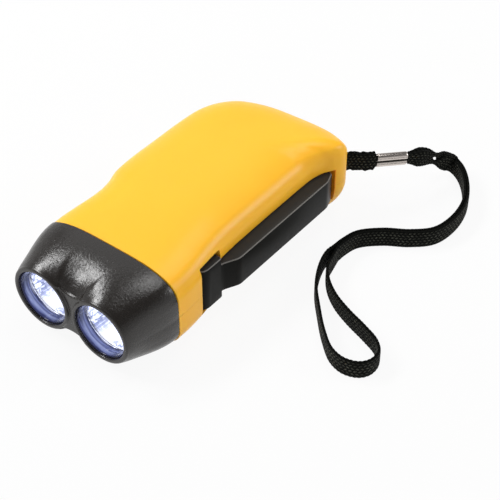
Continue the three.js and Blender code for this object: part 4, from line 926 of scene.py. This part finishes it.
class TORCH_OT_case(bpy.types.Operator):
    """The two yellow case halves."""

    bl_idname = "torch.case"
    bl_label = "Case halves"

    def execute(self, context):
        # ABS, injection-moulded and satin: warm even yellow with broad soft highlights.
        case = context.scene.torch_case
        # The slot's inner walls get a painted orange for the light bounced off the yellow inside the
        # slot.
        low, high = placed(SLOT)
        yellow = moulded_plastic(
            "ABS, yellow, moulded satin", case.colour, "#ffba2b", 0.33, 0.5, 3.0,
            rounding=0.35, scatter=case.scatter, specular=0.25,
            hollow=("#ff981a", (low + high) / 2, (high - low) / 2),
        )
        for side, name, node in (
            (1, "case_top_shell", "upper_case"), (-1, "case_bottom_shell", "lower_case")
        ):
            shell = self.half(case, side, name, yellow)
            finish_piece(shell, "housing", (node,))
        return {"FINISHED"}

    def half(self, case, side, name, yellow):
        """One half's shell: the solid less the same solid set in by the wall, cut where the halves
        part and where the head, lever, hinge, switch and strap pass through."""
        shell = self.solid(case, name, 0.0, 12, yellow)
        hollow = self.solid(case, name + "_hollow", case.wall * 1000, 5, yellow)
        wide, y = (-FAR, FAR), SWITCH_Y
        carve(hollow, box("rib", (14.0, FAR), (SLOT_END, SLOT_END + 2), wide))
        carve(shell, hollow)
        other = (-FAR, 0.03) if side > 0 else (-0.03, FAR)
        pin_x, pin_y = STRAP_PIN
        for cut, spans, corner, axis in (
            ("other_half", (wide, (-FAR, 2 * FAR), other), 0.0, "z"),
            ("head_room", (wide, (-FAR, HEAD_LENGTH + SEAT_GAP), wide), 0.0, "z"),
            ("slot", SLOT.T.tolist(), 0.6, "x"),
            ("recess", ((16.0, FAR), (29.1, 39.1), (-8.4, 9.5)), 0.5, "x"),
            ("pocket", ((-FAR, -22.2), (y - 4.3, y + 7.3), (-4.2, 4.2)), 0.7, "x"),
            ("stem", ((-FAR, -17.3), (y - 2.2, y + 5.2), (-2.2, 2.2)), 0.3, "x"),
            ("strap_hole", ((pin_x - 1.0, pin_x + 3.6), (pin_y, 2 * FAR), (-2.15, 5.35)), 0.8, "y"),
        ):
            carve(shell, box(cut, *spans, corner, axis=axis))
        if side < 0:
            self.underside(shell)
        smooth(shell, 32)
        return shell

    def underside(self, shell):
        """The underside's round recesses for the screws and the catch's pocket and hole."""
        hole = [(0, -FAR), (2.3, -FAR), (2.3, -8.0), (0, -8.0)]
        for place in CASE_SCREWS:
            carve(shell, turned("screw_hole", hole, (*place, 0), [], "z", 48))
        x, y = CATCH
        carve(shell, box("catch_pocket", (x - 6.3, x + 3.3), (y - 3.8, y + 3.8), (-FAR, -11.5), 0.8))
        carve(shell, box("catch_hole", (x - 4.9, x + 1.9), (y - 1.5, y + 1.5), (-FAR, 0.0), 0.3))

    def solid(self, case, name, inset, arc_steps, material):
        """The closed body of the case. Columns follow the plan outline. From the upright side each
        one turns in along an arc of the edge radius, and then rises to the middle as a power curve
        that starts with the arc's last slope."""
        across = CASE_OUTLINE[:, 0] * GRIP_HALF_WIDTH
        back = HEAD_LENGTH + CASE_OUTLINE[:, 1] * (BODY_LENGTH - HEAD_LENGTH)
        line = smooth_line(np.stack([across, back], 1), 9)
        line = np.vstack([[across[0], -20.0], line, [across[-1], -20.0]])
        spine = np.clip(line[:, 1], -10.0, BODY_LENGTH - GRIP_HALF_WIDTH)
        inward = np.stack([-line[:, 0], spine - line[:, 1]], 1)
        reach = np.linalg.norm(inward, axis=1)
        inward /= reach[:, None]
        halves = (self.rows(case, line, inward, reach, side, inset, arc_steps) for side in (-1, 1))
        rings = np.concatenate([rows[::side] for rows, side in zip(halves, (-1, 1))])
        count = len(line)
        faces = grid_faces(len(rings), count, wrap_columns=True).tolist()
        first = np.arange(count // 2 - 1)
        zip_lid = np.stack([first, first + 1, count - 2 - first, count - 1 - first], 1)
        faces += zip_lid.tolist() + (zip_lid + (len(rings) - 1) * count).tolist()
        return piece(name, rings.reshape(-1, 3), faces, [material])

    def rows(self, case, line, inward, reach, side, inset, arc_steps):
        """One half's rows of points. Its edge radius goes from the plain side's to the lever side's
        with the place across, is tighter by the tail's bulge over the slot, and under the grip
        grows to that of each side's lower edge."""
        lean = np.clip(line[:, 0] / GRIP_HALF_WIDTH / 2 + 0.5, 0, 1)
        radius = case.plain_edge * 1000 * (1 - lean) + case.lever_edge * 1000 * lean
        bulge = smoothstep(line[:, 1], 80.0, 88.0) * (1 - smoothstep(line[:, 1], 97.0, 101.0))
        radius -= 2.4 * lean * bulge
        top = SEAM_TOP + (GRIP_TOP - SEAM_TOP) * smoothstep(line[:, 1], HEAD_LENGTH, 46.0)
        if side < 0:
            growth = smoothstep(line[:, 1], 30.0, 60.0)
            lever_side = radius + (case.lower_edge * 1000 - radius) * growth
            growth = smoothstep(line[:, 1], HEAD_LENGTH, 28.0)
            plain_side = radius + (case.lower_plain_edge * 1000 - radius) * growth
            radius = plain_side + (lever_side - plain_side) * lean
            top = np.full(len(line), UNDERSIDE)
        radius, top, crown = np.maximum(radius - inset, 4.0), top - inset, case.crown * 1000
        turn = np.linspace(0, ARC_END, arc_steps)[:, None]
        share = np.linspace(0, 0.9, arc_steps + 1)[1:, None]
        depth, level = domed(radius, top, crown, reach, turn, share, inset)
        flat = line + inward * depth[..., None]
        return np.concatenate([flat, side * level[..., None]], -1)


class TORCH_OT_head(bpy.types.Operator):
    """The black lamp head."""

    bl_idname = "torch.head"
    bl_label = "Lamp head"

    def execute(self, context):
        # ABS, moulded in a spark-eroded tool: near black, with a fine grain that breaks its
        # highlights up into specks, and a polished lip round the openings.
        head = context.scene.torch_head
        black = moulded_plastic(
            "ABS, black, spark-grained", head.colour, "#1c1917", 0.26, 0.4, 78.0,
            rounding=0.3, specular=0.5, polished=LAMP_MIDDLE[1] + 0.001,
        )
        points, faces = self.lever_side(head)
        together = np.concatenate([points, points * (-1, 1, 1)])
        faces = clean_faces(together, np.concatenate([faces, faces + len(points)]).tolist())
        replaces = ("lamp_head",)
        piece("lamp_head_shell", together, faces, [black], "housing", "head_black", replaces, sharp=40)
        return {"FINISHED"}

    def rim(self, head, angle):
        """How far the front outline lies from one lamp's middle in a direction: on the rim's circle,
        or on the hollow arc that touches both rims, or on the plane between the lamps."""
        radius, valley = head.rim * 1000, head.valley * 1000
        hollow = (LAMP_X**2 + valley**2 - radius**2) / (2 * (radius - valley))
        centre = np.array([-LAMP_X, valley + hollow])
        way = np.stack([np.cos(angle), np.abs(np.sin(angle))], 1)
        dot = way @ centre
        arc = dot - np.sqrt(np.maximum(dot**2 - (centre @ centre - hollow**2), 0))
        turn = np.abs(np.mod(angle + math.pi, 2 * math.pi) - math.pi)
        between = turn > math.atan2(valley, -LAMP_X) + 1e-9
        reach = np.where(turn < math.atan2(centre[1], centre[0]), radius, arc)
        return np.where(between, LAMP_X / np.maximum(-np.cos(angle), 1e-6), reach), between

    def seam(self, angle):
        """How far the case's section at the seam reaches from the middle in a direction: the same
        upright side, arc and power curve as the case, read off by its own angle."""
        half = CASE_OUTLINE[0, 0] * GRIP_HALF_WIDTH
        turn = np.linspace(0, ARC_END, 40)[:, None]
        share = np.linspace(0, 1, 60)[1:, None]
        depth, level = domed(SEAM_EDGE, SEAM_TOP, SEAM_CROWN, half, turn, share)
        x, z = half - np.append(0.0, depth), np.append(0.0, level)
        return np.interp(np.abs(angle), np.arctan2(z, x), np.hypot(x, z))

    def washed(self, angle, reach, spread):
        """The front outline's reach from the middle with its hollows filled out: in each direction
        the mean of its neighbours, weighted by a bell curve of the spread in radians. The wave of
        each number along the outline is damped by the bell curve of that number."""
        around = np.linspace(-math.pi, math.pi, 2048, endpoint=False)
        both = np.concatenate([angle, np.sign(angle + 1e-12) * math.pi - angle])
        even = np.interp(around, *np.array(sorted(zip(both, np.tile(reach, 2)))).T, period=2 * math.pi)
        waves = np.fft.rfft(even)
        waves *= np.exp(-((np.arange(len(waves)) * spread) ** 2) / 2)
        return np.interp(angle, around, np.fft.irfft(waves), period=2 * math.pi)

    def lever_side(self, head):
        """The lever side's half as loops about its lamp: each loop runs from the bore over the face
        and the rounded rim, back along the outside to the seam, over a collar that stands into the
        case and keeps light from the joint, and home through the bore."""
        radius, bore, valley = head.rim * 1000, head.opening * 1000, head.valley * 1000
        corner = math.atan2(valley, -LAMP_X)
        outer = np.linspace(-corner, corner, 181)
        inner = np.linspace(corner, 2 * math.pi - corner, 42)[1:-1]
        angle = np.concatenate([outer, inner])
        reach, between = self.rim(head, angle)
        way = np.stack([np.cos(angle), np.sin(angle)], 1)
        centre = np.array([LAMP_X, 0.0])
        outline = centre + way * reach[:, None]
        ahead = np.gradient(outline[: len(outer)], axis=0)
        ahead[[0, -1], 1] = 0
        inward = unit(np.stack([-ahead[:, 1], ahead[:, 0]], 1))
        edge, fillet, lip, seat, tube = 0.7, 0.4, 0.55, 4.6, centre + way * 10.0
        rows, ones = [], np.ones(len(angle))

        def outline_in(inset):
            """The front outline moved in along its normals, and lowered evenly between the lamps."""
            moved = outline.copy()
            moved[: len(outer)] += inward * inset
            moved[between, 1] *= (valley - inset) / valley
            return moved

        def row(flat, level):
            """One more loop, from its outline seen from the front and how far back it lies."""
            rows.append(np.stack([flat[:, 0], level, flat[:, 1]], 1))

        row(centre + way * bore, seat * ones)
        for turn in np.linspace(0, math.pi / 2, 5):
            wide = bore + fillet * (1 - math.cos(turn))
            row(centre + way * wide, fillet * (1 - math.sin(turn)) * ones)
        face, stop = centre + way * (bore + fillet), outline_in(lip + edge)
        for share in np.linspace(0, 1, 22)[1:]:
            flat = face + (stop - face) * share
            off = np.linalg.norm(flat - centre, axis=1)
            deep = smoothstep(off, radius - lip - edge + 0.05, radius - lip - 0.2)
            row(flat, head.web_setback * 1000 * deep)
        front = rows[-1][:, 1]
        for turn in np.linspace(0, math.pi / 2, 7)[1:]:
            level = front + np.where(between, 0, edge * (1 - math.cos(turn)))
            row(outline_in(lip + edge * (1 - math.sin(turn))), level)
        start = rows[-1]
        about = np.arctan2(start[:, 2], start[:, 0])
        about = np.where(between, math.pi / 2 * np.sign(start[:, 2]), about)
        reach = np.hypot(start[:, 0], start[:, 2])
        own, seam = ~between, self.seam(about)
        for share in np.linspace(0, 1, 36)[1:]:
            size = reach.copy()
            size[own] = self.washed(about[own], reach[own], WASH_SPREAD * share**0.5)
            size[own] += lip * (1 - math.exp(-share / 0.09))
            size[between] = size[own][0] / (valley - lip) * reach[between]
            goal = np.where(between, seam / (valley - lip) * reach, seam)
            size += (goal - size) * (1 - (1 - share) ** 1.9)
            level = start[:, 1] + (HEAD_LENGTH - start[:, 1]) * share
            row(np.stack([size * np.cos(about), size * np.sin(about)], 1), level)
        last = rows[-1]
        home = np.stack([tube[:, 0], ones * HEAD_LENGTH, tube[:, 1]], 1)
        for share, back in COLLAR:
            rows.append(last + (home - last) * share + (0, back, 0))
        row(tube, seat * ones)
        points = np.stack(rows).reshape(-1, 3)
        points[np.abs(points[:, 0]) < 1e-9, 0] = 0
        faces = grid_faces(len(rows), len(angle), wrap_rows=True, wrap_columns=True)
        return points, faces[~(points[:, 0] == 0)[faces].all(1)]


class TORCH_OT_lamps(bpy.types.Operator):
    """Lenses, bright reflectors and lit lamps."""

    bl_idname = "torch.lamps"
    bl_label = "Lamps"

    def execute(self, context):
        lamp = context.scene.torch_lamp
        # Acrylic, moulded and polished: the lens is clear and almost colourless.
        lens = clear_plastic("acrylic, clear, polished", "#f6f8ff", 0.02)
        skirt = lit_skirt(lamp.skirt_glow)
        bowl = lit_bowl(lamp.glow)
        epoxy = lit_epoxy(lamp.glow * 1.6)
        for side, x in (("left", -LAMP_X), ("right", LAMP_X)):
            for name, profile, material, slot, node in (
                ("lens_disc", LENS_DISC, lens, "lens_clear", "lens"),
                ("lens_skirt", LENS_SKIRT, skirt, "lens_clear", None),
                ("reflector_bowl", self.bowl(), bowl, "reflector_silver", "reflector"),
                ("led_body", self.led(), epoxy, "led_body", "led"),
            ):
                turned(
                    f"{name}_{side}", profile, (x, 0, 0), [material],
                    body="housing", slot=slot, replaces=(f"{node}_{side}",) if node else (),
                )
        return {"FINISHED"}

    def bowl(self):
        """A thin cup whose radius falls from mouth to throat as the square root of what is left of
        its depth, which makes its wall a parabola, with a flange at the mouth."""
        depth = np.linspace(0, 1, 24)
        throat, length, start, flange, wall = 2.8, 10.0, 6.6, 9.7, 0.8
        inside = np.stack([throat + (MOUTH - throat) * np.sqrt(1 - depth), start + depth * length], 1)
        outside = inside[::-1] + (wall, 0)
        return np.vstack([inside, outside[:-1], [(flange, start + wall), (flange, start)], inside[:1]])

    def led(self):
        """A 5 mm lamp: a half sphere in front of a cylinder, with a flange at its foot."""
        radius, foot, long, flange = 2.5, 22.3, 8.6, 2.9
        arc = np.linspace(0, math.pi / 2, 14)
        dome = np.stack([radius * np.sin(arc), foot - long + radius * (1 - np.cos(arc))], 1)
        back = [(radius, foot - 1.0), (flange, foot - 1.0), (flange, foot), (0, foot)]
        return np.vstack([dome, back])


class TORCH_OT_lever(bpy.types.Operator):
    """The squeeze lever."""

    bl_idname = "torch.lever"
    bl_label = "Squeeze lever"

    def execute(self, context):
        # ABS, moulded satin: near black, with thin bright lines painted along its upper edges as
        # highlights and a faint painted sheen on its flat tops.
        settings = context.scene.torch_lever
        black = moulded_plastic(
            "ABS, black, moulded satin", settings.colour, "#131311", 0.33, 0.4, 8.0,
            rounding=0.35, specular=0.05, painted_edge_highlight="#817e7a",
        )
        edge = settings.edge * 1000
        hinge_x, hinge_y = HINGE
        outer, inner, front, back = hinge_x + 3.8, hinge_x - 2, hinge_y - 2.8, hinge_y + 6.0
        rear, reach = SLOT_END - 1.1, outer + 2.5
        bar = [
            (18.2, hinge_y), (outer, hinge_y), (outer, back), (reach, back + 4.9),
            (reach, rear - 4.4), (reach - 1.5, rear), (18.2, rear),
        ]
        block = [
            (inner, front), (outer - 2.2, front), (outer - 0.64, front + 0.64), (outer, front + 2.2),
            (outer, back), (inner + 1.8, back), (inner, back - 1.8),
        ]
        lever = slab("lever_shell", bar, -5.3, 5.3, 1.0, edge, materials=[black])
        carve(lever, slab("lever_block", block, -7.6, 7.6, 1.0, edge, materials=[black]), "UNION")
        carve(lever, box("channel", (0.0, reach - 2.0), (back + 8.7, rear - 6.4), (-3.6, 3.6)))
        carve(lever, box("sector_slot", (0.0, outer - 1.3), (-20.0, back + 10.4), (-1.5, 1.5)))
        hole = [(0, -20), (1.2, -20), (1.2, 20), (0, 20)]
        carve(lever, turned("pin_hole", hole, (*HINGE, 0), [], "z", 32))
        smooth(lever, 32)
        finish_piece(lever, "lever", ("squeeze_lever",))
        return {"FINISHED"}


class TORCH_OT_sliders(bpy.types.Operator):
    """The switch slider on the side and the catch slider underneath."""

    bl_idname = "torch.sliders"
    bl_label = "Sliders"

    def execute(self, context):
        # Nylon, moulded: dull black, with raised ridges.
        nylon = [
            moulded_plastic(
                "nylon, black, moulded", "#1d1d1c", "#242423", 0.45, 0.4, 10.0, rounding=0.2
            )
        ]
        y, floor = SWITCH_Y, -22.5
        top, reach = floor - 1.4, (-3.6, 3.6)
        cap = box(
            "switch_thumb_cap", (top, floor), (y - 4, y + 4), reach, 0.8, 0.3, "x", materials=nylon
        )
        span = (-1.9, 1.9)
        stem = box("stem", (floor - 0.3, -20.2), (y - 1.9, y + 1.9), span, axis="x", materials=nylon)
        carve(cap, stem, "UNION")
        for share in (-0.6, -0.2, 0.2, 0.6):
            at = y + share * 4
            spans = (top - 0.5, floor - 0.4), (at - 0.5, at + 0.5), (-3.3, 3.3)
            carve(cap, box("ridge", *spans, 0.45, 0.2, "x", materials=nylon), "UNION")
        self.finish(cap, "switch_slider")
        x, y = CATCH
        spans = (x - 3, x + 3), (y - 3.5, y + 3.5), (-13.0, -11.8)
        cap = box("catch_thumb_cap", *spans, 0.8, 0.3, materials=nylon)
        for name, across, up in (
            ("tongue", (x - 1.6, x + 1.6), (-12.1, -3.0)), ("hook", (x, 17.9), (-5.2, -3.0))
        ):
            carve(cap, box(name, across, (y - 1.2, y + 1.2), up, materials=nylon), "UNION")
        for shift in (-1.6, 0.0, 1.6):
            across = (x + shift - 0.35, x + shift + 0.35)
            carve(cap, box("groove", across, (y - 2.9, y + 2.9), (-14.0, -12.6), 0.2))
        self.finish(cap, "lock_slider")
        return {"FINISHED"}

    def finish(self, cap, node):
        """A slider shaded smooth, on the body that has its CAD node's name."""
        smooth(cap, 32)
        finish_piece(cap, node, (node,))


class TORCH_OT_works(bpy.types.Operator):
    """Finishes of the gears, generator, cells, boards and screws inside."""

    bl_idname = "torch.works"
    bl_label = "Works inside"

    def execute(self, context):
        # Acetal, moulded: milky ivory, waxy and slightly see-through.
        acetal = moulded_plastic(
            "acetal, ivory, moulded", "#ece9df", "#e3dfd2", 0.4, 0.5, 5.0, scatter=0.1
        )
        # Steel, turned and drawn: grey with fine tool marks.
        steel = machined_metal("steel, bright-drawn", ("#c4c6c9", "#a2a4a8"), 0.28, (1, 1, 0.05))
        # Brass, turned: warm yellow rings.
        brass = machined_metal("brass, turned", ("#c19a55", "#a57f3f"), 0.3, (1, 1, 0.1))
        # Ferrite, sintered and ground: dull charcoal.
        ferrite = moulded_plastic("ferrite, sintered and ground", "#3b3b3d", "#303032", 0.6, 0.25, 25.0)
        # Silicon steel, stamped and stacked: thin level lines 0.35 mm apart.
        core = machined_metal(
            "silicon steel, stamped laminations", ("#9a9c9f", "#5f6164"), 0.4,
            (0.02, 0.02, 1), 0.18, 12.0,
        )
        # Copper wire, enamelled and wound: red-brown turns side by side.
        copper = machined_metal(
            "copper wire, enamelled", ("#c4713a", "#7c3d1a"), 0.32, (1, 0.02, 0.02), 0.13, 30.0
        )
        # Nylon, moulded: dull black, hardly seen under the wire.
        nylon = moulded_plastic("nylon, black, moulded bobbin", "#1f1f21", "#2a2a2c", 0.5, 0.4, 10.0)
        # Glass-fibre board under a green solder mask.
        board = moulded_plastic("glass-fibre board, green mask", "#2c6b3a", "#23592f", 0.35, 0.6, 12.0)
        # Cell can in green shrink sleeve: glossy film with a faint crinkle.
        sleeve = moulded_plastic(
            "nickel can, green shrink sleeve", "#3c8a4d", "#327a43", 0.25, 1.2, 20.0
        )
        finishes = {
            acetal: ("drive_sector", "gear_1", "gear_2", "rotor_pinion", "gear_plate"),
            steel: (
                "lever_pin", "return_spring", "gear_1_axle", "gear_2_axle", "rotor_shaft",
                "slide_switch", "strap_pin", *(f"plate_screw_{i}" for i in range(1, 5)),
                *(f"case_screw_{i}" for i in range(1, 6)),
            ),
            brass: ("flywheel",),
            ferrite: ("rotor_magnet",),
            core: ("stator_core",),
            nylon: ("coil_bobbin",),
            copper: ("coil_winding",),
            board: ("lamp_board", "charge_board"),
            sleeve: tuple(f"battery_cell_{i}" for i in range(1, 4)),
        }
        for material, nodes in finishes.items():
            for node in nodes:
                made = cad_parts[node]
                made.data.materials.clear()
                made.data.materials.append(material)
        return {"FINISHED"}


class TORCH_PT_panel(bpy.types.Panel):
    """The torch's pieces in the sidebar."""

    bl_idname = "TORCH_PT_panel"
    bl_label = "Hand-press torch"
    bl_space_type = "VIEW_3D"
    bl_region_type = "UI"
    bl_category = "Torch"

    def draw(self, context):
        for step in STEPS:
            self.layout.operator(step.bl_idname)


STEPS = (
    TORCH_OT_stage,
    TORCH_OT_strap,
    TORCH_OT_case,
    TORCH_OT_head,
    TORCH_OT_lamps,
    TORCH_OT_lever,
    TORCH_OT_sliders,
    TORCH_OT_works,
)
SETTINGS = {
    "torch_case": CaseSettings,
    "torch_head": HeadSettings,
    "torch_lamp": LampSettings,
    "torch_lever": LeverSettings,
    "torch_strap": StrapSettings,
    "torch_stage": StageSettings,
}


def register():
    for group in (*SETTINGS.values(), *STEPS, TORCH_PT_panel):
        bpy.utils.register_class(group)
    for name, group in SETTINGS.items():
        setattr(bpy.types.Scene, name, PointerProperty(type=group))


def unregister():
    for name in SETTINGS:
        delattr(bpy.types.Scene, name)
    for group in (TORCH_PT_panel, *reversed(STEPS), *reversed(SETTINGS.values())):
        bpy.utils.unregister_class(group)


def main():
    register()
    bpy.context.scene.view_settings.view_transform = "Standard"
    for step in STEPS:
        group, action = step.bl_idname.split(".")
        getattr(getattr(bpy.ops, group), action)()


if __name__ == "__main__":
    main()
